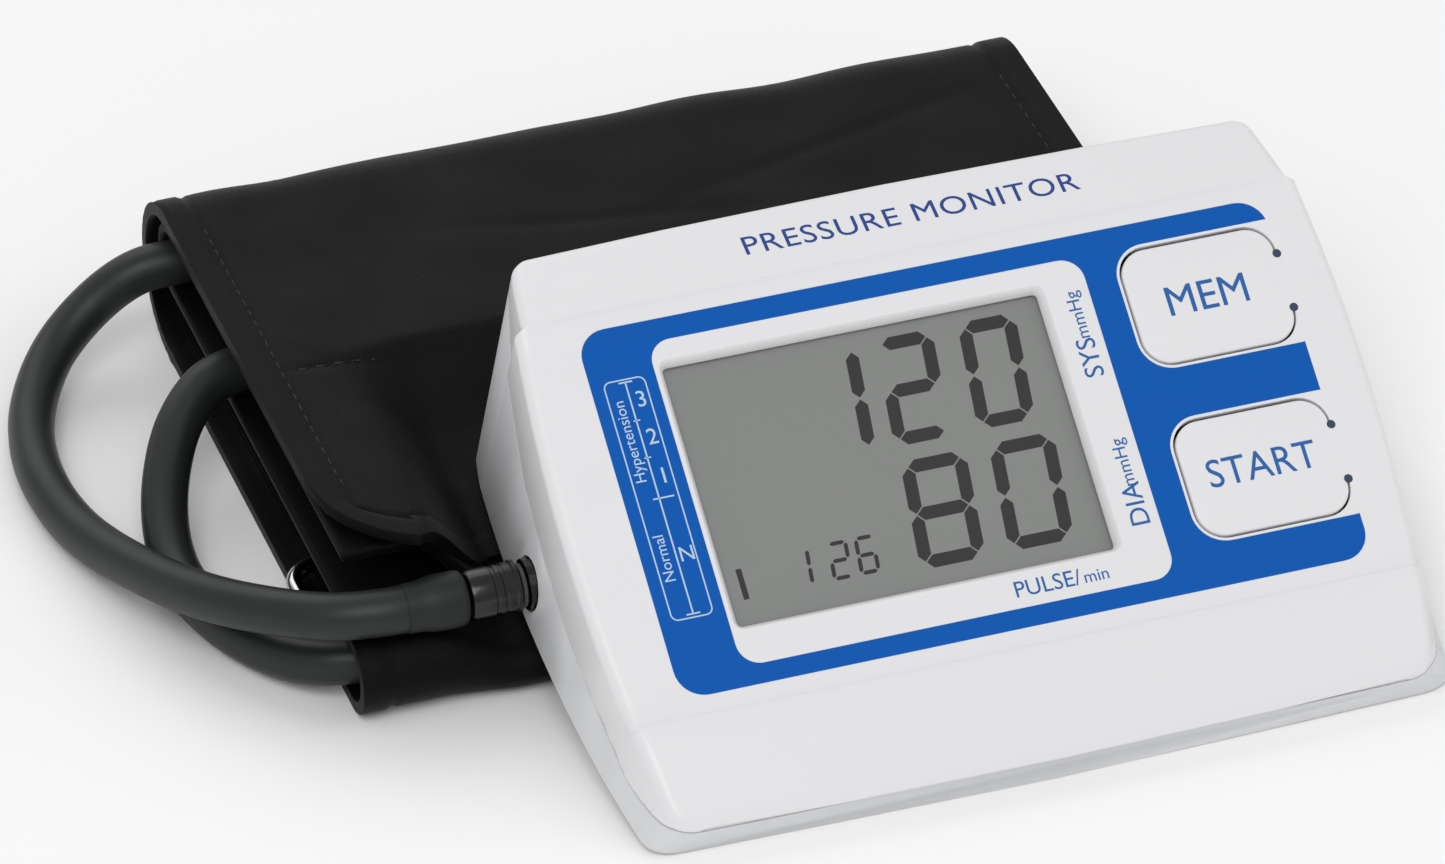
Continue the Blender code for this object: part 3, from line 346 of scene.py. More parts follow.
looks = {
    "case": finish_look("White_ABS_Satin", "E6E6E8", 0.34, (90.0, 0.008), (2600.0, 0.035),
                        coat=0.08),
    # painted shade: the same white ABS as the case, made darker for the shade on the lower shell
    "base": finish_look("Grey_White_ABS_Satin", "D9DADC", 0.4, (90.0, 0.01), (2200.0, 0.06)),
    "blue": finish_look("Blue_Printed_Ink", "0059B2", 0.36, (220.0, 0.02), (2400.0, 0.03), ior=1.25),
    "navy": finish_look("Navy_Printed_Ink", "1A3F8C", 0.36, (220.0, 0.02), (2400.0, 0.03)),
    "legend": finish_look("Blue_Legend_Ink", "1B5FA8", 0.38, (220.0, 0.02), (2400.0, 0.03)),
    "pale": finish_look("Pale_Scale_Ink", "B9D2EA", 0.38, (220.0, 0.02), (2400.0, 0.03)),
    "segment": finish_look("LCD_Segment_Black", "2B2928", 0.5, (300.0, 0.02), (2400.0, 0.02)),
    "glass": finish_look("LCD_Grey_Glass", "868886", 0.3, (45.0, 0.012), (2600.0, 0.02)),
    # painted shade: dark dots that stand for the shade in the open ends of the button slots
    "slot": finish_look("Slot_Shadow_Plastic", "33405A", 0.6, (300.0, 0.05), (2400.0, 0.05)),
    "hose": finish_look("Air_Hose_PVC", "232726", 0.42, (160.0, 0.05), (1500.0, 0.08), ior=1.4),
    "sleeve": finish_look("Hose_End_Rubber", "1D201F", 0.5, (160.0, 0.05), (1500.0, 0.1), ior=1.4),
    "plug": finish_look("Plug_Black_Gloss_ABS", "060607", 0.24, (200.0, 0.05), (2200.0, 0.04),
                        coat=0.2),
    "nylon": woven_look("Cuff_Satin_Nylon", "060606", 0.5, 0.52, 0.3, sheen=0.03, wrinkle=1.2),
    "lining": woven_look("Cuff_Lining_Nylon", "050505", 0.5, 0.62, 0.35, sheen=0.03),
    "thread": finish_look("Black_Sewing_Thread", "1B1B1C", 0.6, (900.0, 0.08), (4000.0, 0.2)),
    "hook": finish_look("Hook_Tape_Nylon", "131313", 0.75, (900.0, 0.15), (1400.0, 0.9)),
    "bladder": finish_look("Bladder_Coated_TPU", "1A1B1D", 0.45, (160.0, 0.06), (900.0, 0.15)),
    "chrome": finish_look("Chromed_Steel_Wire", "C9CACD", 0.12, (300.0, 0.03), (3000.0, 0.03),
                          metal=1.0),
    "steel": finish_look("Zinc_Plated_Steel", "A9ABAE", 0.3, (500.0, 0.06), (2500.0, 0.08),
                         metal=1.0),
    "brass": finish_look("Contact_Brass", "C79A4A", 0.3, (500.0, 0.06), (2500.0, 0.08), metal=1.0),
    "foot": finish_look("Grey_Rubber_Foot", "4A4B4C", 0.75, (300.0, 0.08), (1500.0, 0.3)),
    "inner": finish_look("Inner_Grey_ABS", "55575A", 0.5, (200.0, 0.03), (1800.0, 0.1)),
    "board": finish_look("Green_Solder_Mask", "0C4A2C", 0.35, (900.0, 0.08), (2600.0, 0.08)),
    "chip": finish_look("Black_Epoxy", "121212", 0.5, (700.0, 0.05), (2600.0, 0.1)),
    "silicone": finish_look("Milky_Silicone", "B4B3AC", 0.4, (300.0, 0.04), (1500.0, 0.08)),
    "cell": finish_look("Battery_Jacket", "14233F", 0.3, (300.0, 0.03), (2200.0, 0.04)),
}
print(len(looks), "materials")

# %% [markdown]
# ## The case
# Both shells are cut from one wedge. A grid is lofted through sections of the wedge from front to back,
# close together where it curves. The hollow, the window and the openings are then cut away.

# %%
WIDTH, DEPTH, WALL, CORNER = 138.0, 93.0, 2.0, 3.5
PANEL_START, PANEL_END = 16.5, 77.3
TOP_LINE = ((0, 4.6), (0.15, 4.95), (0.5, 5.45), (1.0, 5.95), (1.6, 6.38), (2.4, 6.8), (4.0, 7.7),
            (6.5, 9.15), (8.7, 10.4), (10.5, 11.25), (13.0, 12.25), (15.0, 12.9), (15.9, 13.1),
            (16.2, 13.0), (PANEL_START, 12.7), (PANEL_END, 37.635), (77.5, 37.85), (78.0, 38.44),
            (91.0, 39.0), (91.7, 38.75), (92.4, 38.1), (DEPTH, 37.0))
PARTING_LINE = ((-5, 3.9), (0, 3.9), (13, 5.2), (40, 12.0), (62, 19.5), (80, 29.5), (88, 34.0),
                (100, 34.4))
CASE_STATIONS = (0, 0.15, 0.4, 0.8, 1.3, 1.9, 2.6, 3.5, 5, 6.5, 8.0, 8.7, 10.5, 12, 13.5, 15, 15.9,
                 16.2, 16.5, 20, 26, 32, 38, 44, 50, 56, 62, 68, 73, 77.3, 77.5, 78, 80, 83, 86, 88,
                 89.5, 90.4, 91, 91.7, 92.4, 92.8, DEPTH)


def along_line(line, y):
    return float(np.interp(y, [p[0] for p in line], [p[1] for p in line]))


def half_width(y, share):
    """Half the width at y; share runs from 0 at the base to 1 at the top edge."""
    bow = ((y - DEPTH / 2) / (DEPTH / 2)) ** 2
    low = WIDTH / 2 - 3.4 * bow
    high = WIDTH / 2 - 2.7 - 4.3 * bow - (1.2 if y > PANEL_END + 0.4 else 0.0)
    return low + (high - low) * share


def case_section(y, inset, shoulder_steps=7):
    end = min(y, DEPTH - y) - inset
    drawn = inset
    if end < CORNER:
        drawn += CORNER - math.sqrt(max(0.0, CORNER ** 2 - (CORNER - max(end, 0)) ** 2))
    top = along_line(TOP_LINE, y) - inset
    low_w, top_w = half_width(y, 0) - drawn, half_width(y, 1) - drawn
    round_off = min(2.0, 0.35 * (top - inset))
    half = [(0.0, inset), (low_w - 1.0, inset), (low_w - 0.3, inset + 0.2), (low_w, inset + 0.9)]
    for step in range(shoulder_steps + 1):
        angle = math.radians(90 * step / shoulder_steps)
        half.append((top_w - round_off * (1 - math.cos(angle)),
                     top - round_off * (1 - math.sin(angle))))
    half += [(top_w * 0.6, top), (0.0, top)]
    ring = half + [(-x, z) for x, z in reversed(half) if x > 0]
    placed = []
    for x, z in ring:
        bow = 1.5 * (x / 66.0) ** 2 * max(0.0, 1.0 - y / PANEL_START)
        back = max(0.0, (y - 80.0) / (DEPTH - 80.0))
        lean = back * (4.0 * (1.0 - z / 39.0) + 1.5 * (x / 66.0) ** 2)
        placed.append((x, y + bow - lean, z))
    return placed


def case_solid(name, inset):
    inside = [y for y in CASE_STATIONS if inset + 0.3 < y < DEPTH - inset - 0.3]
    stations = [inset] + inside + [DEPTH - inset] if inset else CASE_STATIONS
    return settle_mesh(loft(name, [case_section(y, inset) for y in stations], closed=True,
                            capped=True), monitor)


def parting_block(name, offset, limit):
    """Everything on one side of the parting line, as a wide block."""
    line = [(y, z + offset) for y, z in PARTING_LINE]
    rows = [[(x, y, z) for y, z in line] + [(x, y, limit) for y, _z in reversed(line)]
            for x in (-90, 90)]
    return settle_mesh(loft(name, rows, closed=True, capped=True), monitor)


top_shell = case_solid("top_shell", 0.0)
boolean(top_shell, parting_block("below", 0.15, -6.0))
boolean(top_shell, case_solid("hollow", WALL))
base_shell = case_solid("base_shell", 0.0)
boolean(base_shell, parting_block("above", -0.15, 60.0))
boolean(base_shell, case_solid("hollow", WALL))
print("shells", len(top_shell.data.polygons), len(base_shell.data.polygons))

# %% [markdown]
# The window flares towards the outside in two steps, so its rim catches the light. The slots round the
# buttons are half a millimetre wide.

# %%
LCD = (-43.2, 12.7, 18.2, 55.9)        # left, low, right, high on the panel, mm
BUTTONS = {"mem": 39.9, "start": 10.7}
BUTTON_LEFT, HINGE, BUTTON_HEIGHT, BUTTON_RADIUS, SLOT = 32.0, 57.2, 19.2, 4.4, 0.45


def grown(box, by):
    return box[0] - by, box[1] - by, box[2] + by, box[3] + by


def window_cutter():
    rows = []
    for depth, flare in ((-4.0, 0.0), (-1.5, 0.0), (-0.15, 0.75), (0.02, 1.0), (0.6, 1.9)):
        left, low, right, high = grown(LCD, flare)
        radius, row = 0.8 + flare, []
        for cx, cy, start in ((right - radius, high - radius, 0), (left + radius, high - radius, 90),
                              (left + radius, low + radius, 180), (right - radius, low + radius, 270)):
            for step in range(7):
                angle = math.radians(start + 15 * step)
                row.append((cx + radius * math.cos(angle), cy + radius * math.sin(angle), depth))
        rows.append(row)
    return settle_mesh(loft("window", rows, closed=True, capped=True), panel)


boolean(top_shell, window_cutter())
for label, low in BUTTONS.items():
    hole = slab("hole", BUTTON_LEFT - SLOT, low - SLOT, HINGE + 0.3, low + BUTTON_HEIGHT + SLOT,
                -4.0, 3.0, BUTTON_RADIUS + SLOT)
    boolean(top_shell, settle_mesh(hole, panel))
jack_hole = turned("jack_hole", [(-75, 0), (-75, 4.4), (-64, 4.4), (-64, 0)],
                   monitor @ Matrix.Translation((0, 53.5 * MM, 7 * MM)))
boolean(base_shell, jack_hole)
bay = settle_mesh(slab("bay", -56.0, 56.4, 50.6, 85.2, -1, 4), monitor)
boolean(base_shell, bay)
boolean(base_shell, settle_mesh(slab("recess", -57.4, 54.4, 52.0, 110, -1, 1.8), monitor))
SCREWS = ((-52.0, 9.5), (52.0, 9.5), (-60.4, 68.0), (60.4, 68.0))
for x, y in SCREWS:
    boolean(base_shell, turned("sink", [(-1, 0), (-1, 2.9), (1.1, 2.9), (1.1, 1.6), (2.6, 1.6),
                                        (2.6, 0)], upright_at(x, y), 24))
# The base shell gets the darker white of painted shade.
for piece, look, node in ((top_shell, "case", "top_case"), (base_shell, "base", "bottom_case")):
    rim = piece.modifiers.new("soft_edges", "BEVEL")
    rim.width, rim.segments, rim.limit_method = 0.00012, 2, "ANGLE"
    rim.angle_limit, rim.use_clamp_overlap = math.radians(50), True
    apply_modifiers(piece)
    smooth(piece, 32)
    finish_piece(piece, looks[look], MAIN, node, slot="white_abs")
print("window, slots and holes are cut")

# %% [markdown]
# ## Buttons
# Each flap is a plate of the panel with a softened edge. A thin strip bridges the gap at its hinge,
# because the real flap is moulded in one piece with the case.

# %%
for label, low in BUTTONS.items():
    middle = low + BUTTON_HEIGHT / 2
    flap = slab(f"{label}_flap", BUTTON_LEFT, low, HINGE, low + BUTTON_HEIGHT, -2.0, 0.0,
                BUTTON_RADIUS, 12)
    rim = flap.modifiers.new("soft_edge", "BEVEL")
    rim.width, rim.segments, rim.limit_method = 0.00035, 3, "ANGLE"
    rim.angle_limit = math.radians(60)
    apply_modifiers(flap)
    settle_mesh(flap, panel)
    smooth(flap)
    finish_piece(flap, looks["case"], f"{label}_button", f"{label}_button", slot="white_abs")
    bridge = slab(f"{label}_hinge_strip", 56.2, middle - 4.45, 58.4, middle + 4.45, -0.3, 0.012)
    pick(bridge)
    bpy.ops.object.mode_set(mode="EDIT")
    bpy.ops.mesh.select_all(action="SELECT")
    bpy.ops.mesh.subdivide(number_cuts=8)
    bpy.ops.object.mode_set(mode="OBJECT")
    settle_mesh(bridge, panel)
    smooth(bridge)
    finish_piece(bridge, looks["case"], None, slot="white_abs")
    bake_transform(bridge)
print("two press flaps")

# %% [markdown]
# ## Prints
# Each print is a film of ink with real thickness, a few hundredths of a millimetre proud of the panel.
# The dark dots at the ends of the button slots are films of painted shade, not ink.

# %%
FILM_LOW, FILM_HIGH = -0.02, 0.03


def film(name, left, low, right, high, radius=0.0):
    return slab(name, left, low, right, high, FILM_LOW, FILM_HIGH, radius)


def hole_slab(left, low, right, high, radius):
    return slab("hole", left, low, right, high, -1, 1, radius, 10)


blue = film("blue_frame", -55.4, 2.8, 57.5, 63.6, 4.6)
boolean(blue, hole_slab(-44.8, 6.0, 26.1, 60.0, 3.6))
for label, low in BUTTONS.items():
    boolean(blue, hole_slab(BUTTON_LEFT - SLOT - 0.45, low - SLOT - 0.45, HINGE + 5,
                            low + BUTTON_HEIGHT + SLOT + 0.45, BUTTON_RADIUS + SLOT + 0.45))
settle_mesh(blue, panel)
finish_piece(blue, looks["blue"], MAIN)
# Painted shade: a dark dot over the open end of each slot, next to the hinges, stands for the shade in
# the hole.
SLOT_END, DOT = 57.45, 0.7             # mm, where the slots end across the panel, and a dot's radius
for count, s in enumerate((54.1, 44.9, 24.9, 15.7), 1):
    shade_dot = film(f"slot_end_{count}", SLOT_END - DOT, s - DOT, SLOT_END + DOT, s + DOT, 0.69)
    finish_piece(settle_mesh(shade_dot, panel), looks["slot"], MAIN)


def outline_film(name, left, low, right, high, radius, width):
    """A thin printed line round a rounded rectangle."""
    piece = film(name, left, low, right, high, radius)
    return boolean(piece, hole_slab(left + width, low + width, right - width, high - width,
                                    max(radius - width, 0.05)))


def lettering(name, text, u, s, size, turn=0.0, spacing=1.0, look="legend", body=MAIN, stretch=1.0,
              height=FILM_HIGH, plane=panel):
    """Printed words, centred at (u, s) on a plane. Size is the height of a capital, mm."""
    bpy.ops.object.select_all(action="DESELECT")
    bpy.ops.object.text_add()
    piece = bpy.context.object
    piece.name = name
    piece.data.body = text
    piece.data.align_x, piece.data.align_y = "CENTER", "CENTER"
    piece.data.size = size * MM / 0.7
    piece.data.space_character = spacing
    piece.data.resolution_u = 4
    piece.data.extrude = 0.02 * MM
    bpy.ops.object.convert(target="MESH")
    piece = bpy.context.object
    piece.scale = (stretch, 1, 1)
    bpy.ops.object.transform_apply(location=False, rotation=False, scale=True)
    place = plane @ Matrix.Translation((u * MM, s * MM, (height - 0.02) * MM)) @ Matrix.Rotation(
        math.radians(turn), 4, "Z")
    settle_mesh(piece, place)
    return finish_piece(piece, looks[look], body)


lettering("mem_word", "MEM", 44.4, 49.5, 4.9, look="legend", body="mem_button", stretch=0.98)
lettering("start_word", "START", 44.6, 20.6, 4.6, look="legend", body="start_button",
          stretch=0.95)
lettering("sys_word", "SYS", 23.2, 43.4, 3.1, 90)
lettering("sys_unit", "mmHg", 23.2, 50.6, 2.1, 90)
lettering("dia_word", "DIA", 23.2, 18.6, 3.1, 90)
lettering("dia_unit", "mmHg", 23.2, 25.6, 2.1, 90)
lettering("pulse_word", "PULSE/", 5.6, 8.9, 2.6)
lettering("pulse_unit", "min", 13.6, 8.7, 2.0)
band = (monitor @ Matrix.Translation((0, 84.5 * MM, 38.72 * MM))
        @ Matrix.Rotation(math.radians(2.47), 4, "X"))
lettering("title_word", "PRESSURE MONITOR", 2.5, 0.0, 3.7, look="navy", stretch=1.08, spacing=1.06,
          plane=band)

# %% [markdown]
# The scale at the left of the display is a pale outline with a long bracket, ticks and small words.

# %%
scale_box = outline_film("scale_outline", -53.4, 15.2, -46.6, 55.0, 1.2, 0.22)
scale_bar = film("scale_bar", -49.95, 15.9, -49.7, 54.4)
ticks = [film("tick", -50.9, 15.75, -48.7, 16.0), film("tick", -50.9, 54.3, -48.7, 54.55),
         film("tick", -50.8, 34.9, -47.4, 35.15), film("tick", -50.3, 41.7, -49.2, 41.9),
         film("tick", -50.3, 47.9, -49.2, 48.1)]
for piece in [scale_box, scale_bar] + ticks:
    for vertex in piece.data.vertices:
        vertex.co.z += 0.03 * MM
    settle_mesh(piece, panel)
pick(scale_bar)
for piece in ticks:
    piece.select_set(True)
bpy.ops.object.join()
finish_piece(scale_box, looks["pale"], MAIN)
finish_piece(scale_bar, looks["pale"], MAIN)
for word, u, s, size, turn in (("3", -48.1, 51.2, 2.6, 0), ("2", -48.1, 44.9, 2.6, 0),
                               ("1", -48.1, 38.4, 2.6, 0), ("N", -48.1, 25.4, 2.4, 0),
                               ("Hypertension", -51.7, 44.8, 1.75, 90),
                               ("Normal", -51.7, 25.4, 1.75, 90)):
    lettering(f"scale_word_{word}", word, u, s, size, turn, look="pale", height=0.07)
print("prints are on the panel")

# %% [markdown]
# ## Display
# The grey glass is the CAD's own piece with a new finish. The digits are dark bars just under its top:
# each bar is a six-sided primitive whose points are moved into the long shape of a display segment.

# %%
GLASS_TOP = -2.3
SEGMENTS = {"a": (0.5, 1.0, 0), "b": (1.0, 0.75, 1), "c": (1.0, 0.25, 1), "d": (0.5, 0.0, 0),
            "e": (0.0, 0.25, 1), "f": (0.0, 0.75, 1), "g": (0.5, 0.5, 0)}
DIGITS = {"0": "abcdef", "1": "bc", "2": "abged", "6": "acdefg", "8": "abcdefg"}


def segment_bar(cx, cy, length, thick, upright):
    bpy.ops.object.select_all(action="DESELECT")
    bpy.ops.mesh.primitive_cylinder_add(vertices=6, radius=1, depth=0.04 * MM,
                                        location=(0, 0, (GLASS_TOP + 0.02) * MM))
    bar = bpy.context.object
    outline = ((length / 2, 0), (length / 2 - thick / 2, thick / 2),
               (-length / 2 + thick / 2, thick / 2), (-length / 2, 0),
               (-length / 2 + thick / 2, -thick / 2), (length / 2 - thick / 2, -thick / 2))
    for vertex in bar.data.vertices:
        turn = math.degrees(math.atan2(vertex.co.x, vertex.co.y)) % 360
        x, y = outline[int(round(turn / 60)) % 6]
        x, y = (y, x) if upright else (x, y)
        vertex.co.x, vertex.co.y = (cx + x) * MM, (cy + y) * MM
    return bar


def number(name, text, lefts, low, width, height, thick, slant):
    bars = []
    for digit, left in zip(text, lefts):
        for key in DIGITS[digit]:
            fx, fy, upright = SEGMENTS[key]
            length = (height / 2 if upright else width) - 0.35
            bars.append(segment_bar(left + fx * width, low + fy * height, length, thick, upright))
    pick(bars[0])
    for bar in bars[1:]:
        bar.select_set(True)
    bpy.ops.object.join()
    piece = bpy.context.object
    piece.name = name
    for vertex in piece.data.vertices:
        vertex.co.x += slant * (vertex.co.y + piece.location.y - low * MM)
    settle_mesh(piece, panel)
    outward(piece)
    return finish_piece(piece, looks["segment"], MAIN)


number("digits_top", "120", (-22.0, -9.6, 4.1), 37.3, 7.4, 15.6, 2.1, 0.1)
number("digits_middle", "80", (-11.3, 3.2), 17.0, 8.6, 15.6, 2.1, 0.1)
number("digits_small", "126", (-32.3, -26.0, -21.6), 17.4, 2.7, 5.6, 0.62, 0.1)
low_bar = settle_mesh(slab("digits_bar", -40.8, 17.1, -39.9, 22.1, GLASS_TOP, GLASS_TOP + 0.04),
                      panel)
finish_piece(low_bar, looks["segment"], MAIN)
glass = nodes["lcd_cell"]
glass.data.materials.clear()
glass.data.materials.append(looks["glass"])
print("display digits")

# %% [markdown]
# ## Air hose and plug
# The hose keeps the route of the CAD hose. It is a curve with a round bevel, made a mesh.

# %%
HOSE_WIDTH = 7.5
HOSE_ROUTE = [
    (-78.8, 50.875, 17.97), (-85.0, 50.875, 17.97), (-92.0, 51.3, 17.9), (-99.0, 54.0, 17.0),
    (-106.5, 61.0, 15.0), (-114.0, 72.5, 11.6), (-120.3, 88.5, 7.4), (-125.0, 105.5, 4.3),
    (-126.4, 121.5, 3.9), (-123.8, 136.0, 4.3), (-117.5, 147.5, 6.8), (-109.5, 152.9, 11.2),
    (-101.5, 153.4, 16.1), (-93.5, 152.8, 17.4), (-80.0, 152.6, 17.4), (-66.0, 152.2, 17.4),
    (-53.0, 147.0, 17.4), (-46.5, 135.0, 17.4), (-51.5, 121.0, 17.4), (-65.0, 114.0, 17.4),
    (-80.0, 117.5, 17.4), (-91.5, 120.8, 17.4), (-99.0, 119.6, 16.7), (-105.0, 115.0, 13.8),
    (-109.3, 108.4, 9.8), (-112.2, 100.0, 6.2), (-113.3, 90.5, 4.0), (-112.2, 81.0, 3.8),
    (-109.0, 71.5, 3.8), (-104.3, 63.2, 4.4), (-99.2, 57.8, 5.7), (-94.0, 55.6, 6.5)]


def smooth_route(points, count):
    """Points on a smooth curve through the given ones."""
    first = [2 * a - b for a, b in zip(points[0], points[1])]
    last = [2 * a - b for a, b in zip(points[-1], points[-2])]
    every = [Vector(p) for p in [first, *points, last]]
    spans, result = len(points) - 1, []
    for step in range(count):
        where = spans * step / (count - 1)
        span = min(int(where), spans - 1)
        t = where - span
        p0, p1, p2, p3 = every[span:span + 4]
        result.append(0.5 * (2 * p1 + (p2 - p0) * t + (2 * p0 - 5 * p1 + 4 * p2 - p3) * t ** 2
                             + (3 * p1 - p0 - 3 * p2 + p3) * t ** 3))
    return result


def tube(name, points, radius, resolution=6, closed=False):
    """A round bar along points in mm of the table frame, as a mesh."""
    curve = bpy.data.curves.new(name, "CURVE")
    curve.dimensions, curve.bevel_depth = "3D", radius * MM
    curve.bevel_resolution, curve.use_fill_caps = resolution, not closed
    line = curve.splines.new("POLY")
    line.points.add(len(points) - 1)
    for target_point, point in zip(line.points, points):
        target_point.co = (*(Vector(point) * MM), 1.0)
    line.use_cyclic_u = closed
    piece = bpy.data.objects.new(name, curve)
    bpy.context.scene.collection.objects.link(piece)
    pick(piece)
    bpy.ops.object.convert(target="MESH")
    piece = outward(bpy.context.object)
    smooth(piece, 50)
    return settle_mesh(piece, table)


hose_line = smooth_route(HOSE_ROUTE, 220)
hose = tube("hose", hose_line, HOSE_WIDTH / 2)
finish_piece(hose, looks["hose"], None, "air_tube", slot="hose_pvc")
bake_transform(hose)
hose_path = [at(table, *p) for p in hose_line]
hose_length = sum((b - a).length for a, b in zip(hose_path, hose_path[1:]))
print("hose length", round(hose_length, 4))

# %% [markdown]
# The plug is one turned piece with a collar and a tapered nipple. The rubber end of the hose is a short
# sleeve, a little wider than the hose, with a soft step.

# %%
jack_axis = monitor @ Matrix.Translation((0, 53.5 * MM, 7.0 * MM))
plug = turned("plug", [(-78.4, 0), (-78.4, 3.5), (-78.1, 3.9), (-77.6, 4.05), (-74.6, 4.05),
                       (-74.4, 3.9), (-74.0, 3.9), (-73.8, 4.05), (-73.2, 4.05), (-73.0, 3.9),
                       (-72.6, 3.9), (-72.4, 4.05), (-71.2, 4.05), (-71.0, 4.25), (-70.4, 4.25),
                       (-70.25, 4.1), (-70.2, 1.8), (-63.4, 1.8), (-62.8, 1.3), (-62.8, 0)],
              jack_axis)
finish_piece(plug, looks["plug"], PLUG, "air_plug", slot="plug_abs")
sleeve = turned("hose_sleeve", [(-88.4, 3.62), (-88.4, 3.86), (-87.6, 3.92), (-86.2, 3.95),
                                (-85.2, 4.1), (-84.4, 4.3), (-83.2, 4.42), (-80.2, 4.42),
                                (-79.6, 4.38), (-79.1, 4.2), (-78.75, 3.8), (-78.7, 3.2),
                                (-79.2, 3.0), (-80.0, 3.3), (-88.0, 3.5), (-88.4, 3.62)], jack_axis)
finish_piece(sleeve, looks["sleeve"], PLUG)

# %% [markdown]
# ## The folded cuff
# Each panel of the cuff is one strip. It is a fine grid that follows the fold, seen from the side, and
# it is pressed down under the monitor. Soft creases, a raised hem and sunk stitch lines are sculpted
# into the grid before the cloth gets its thickness.

# %%
CUFF_LEFT, CUFF_RIGHT, CUFF_FRONT, CUFF_BACK = -96.5, 49.5, 46.0, 165.0
PLY, HEIGHT, POUCH_TOP = 2.4, 28.0, 10.7
PRESS_START, PRESS_END, BEHIND_Y, BEHIND_SLOPE = -84.0, -70.0, 93.0, 0.75
FLAP_Z, FLOOR_Z, SECOND_Z, THIRD_Z = HEIGHT - PLY / 2, PLY / 2, POUCH_TOP + PLY / 2, 21.7 + PLY / 2
BACK_RADIUS = (FLAP_Z - FLOOR_Z) / 2
BACK_Y = CUFF_BACK - BACK_RADIUS - PLY / 2
POUCH_RADIUS = (SECOND_Z - FLOOR_Z) / 2
POUCH_Y = CUFF_FRONT + POUCH_RADIUS + PLY / 2
INNER_RADIUS, INNER_Y, SEAM_Y, THIRD_TIP = (THIRD_Z - SECOND_Z) / 2, 153.6, 58.0, 60.0


def smooth_step(value):
    value = min(1.0, max(0.0, value))
    return value * value * (3 - 2 * value)


def base_plane(y):
    return y * math.tan(TILT) - 1.6 / math.cos(TILT)


def settle(x, y, z):
    """Where the weight of the monitor moves a point of the cuff, mm."""
    pressed = min(HEIGHT, base_plane(min(y, BEHIND_Y)) + BEHIND_SLOPE * max(0.0, y - BEHIND_Y))
    limit = HEIGHT + (pressed - HEIGHT) * smooth_step(
        (x - PRESS_START) / (PRESS_END - PRESS_START))
    share = 0.45 + 0.55 * limit / HEIGHT
    if z <= POUCH_TOP:
        return z * share
    return POUCH_TOP * share + (z - POUCH_TOP) * (limit - POUCH_TOP * share) / (HEIGHT - POUCH_TOP)


def arc(cy, cz, radius, start, end, steps=24):
    return [(cy + radius * math.cos(math.radians(start + (end - start) * k / steps)),
             cz + radius * math.sin(math.radians(start + (end - start) * k / steps)))
            for k in range(steps + 1)]


def even_points(path, count):
    """The same path cut into equal steps: (y, z, normal y, normal z, distance from its start)."""
    path = np.array(path, float)
    lengths = np.concatenate([[0], np.cumsum(np.hypot(*np.diff(path, axis=0).T))])
    marks = np.linspace(0, lengths[-1], count)
    ys, zs = np.interp(marks, lengths, path[:, 0]), np.interp(marks, lengths, path[:, 1])
    dy, dz = np.gradient(ys), np.gradient(zs)
    size = np.hypot(dy, dz)
    return ys, zs, -dz / size, dy / size, marks


def flap_tip(x):
    """Front edge of the top flap, with a round corner at its left."""
    if x < -84.0:
        return 75.0 - math.sqrt(max(0.0, 22.0 ** 2 - (x + 74.5) ** 2))
    return min(66.0, 55.2 + 0.77 * (x + 84.0))


def outer_path(x):
    return ([(flap_tip(x), FLAP_Z)] + arc(BACK_Y, (FLAP_Z + FLOOR_Z) / 2, BACK_RADIUS, 90, -90)
            + arc(POUCH_Y, (FLOOR_Z + SECOND_Z) / 2, POUCH_RADIUS, 270, 90, 12)
            + [(SEAM_Y, SECOND_Z)])


def inner_path(_x):
    return ([(SEAM_Y + 0.3, SECOND_Z)]
            + arc(INNER_Y, (SECOND_Z + THIRD_Z) / 2, INNER_RADIUS, -90, 90)
            + [(THIRD_TIP, THIRD_Z)])


# %% [markdown]
# Long low waves keep the cloth from looking flat. Each row of `FOLDS` adds one sharper fold to the flap:
# its middle in mm, its direction in radians, its length and its depth in mm.

# %%
FOLDS = ((-70, 84, 0.5, 9, 0.55), (-60, 97, -0.35, 11, 0.5), (-84, 104, 0.9, 8, 0.35),
         (-30, 128, 0.2, 22, 0.35), (10, 136, -0.25, 26, 0.3), (-76, 130, 1.2, 12, 0.3))
FOLD_WIDTH = 1.9
FLAP_FROM = 20                         # mm, the flap is the only layer above this height


def creases(x, along, y, z):
    """Height of the soft creases of a worn cloth, mm: long waves and a few sharper folds."""
    wave = (0.26 * math.sin(0.085 * x + 0.05 * along + 0.9) * math.sin(0.043 * along - 0.06 * x)
            + 0.14 * math.sin(0.21 * x - 0.13 * along + 2.0)
            + 0.09 * math.sin(0.37 * along + 0.16 * x) * math.sin(0.11 * x + 1.1))
    pull = 0.0
    for cx, cy, turn, size, deep in FOLDS:
        across = (x - cx) * math.sin(turn) + (y - cy) * math.cos(turn)
        length = (x - cx) * math.cos(turn) - (y - cy) * math.sin(turn)
        pull -= deep * math.exp(-(across / FOLD_WIDTH) ** 2 - (length / size) ** 2) * (z > FLAP_FROM)
    return wave + pull


# %% [markdown]
# The panel itself: one column of points for each step across the cuff. Close to the edges the waves fade
# out, the hem rises and the stitch line sinks.

# %%
STITCH_INSET = 5.2                     # mm from the edge to the stitches of the hem


def seam_at(x):
    """Where the cross seam of the flap lies."""
    return 103.5 + 0.035 * (x + 90)


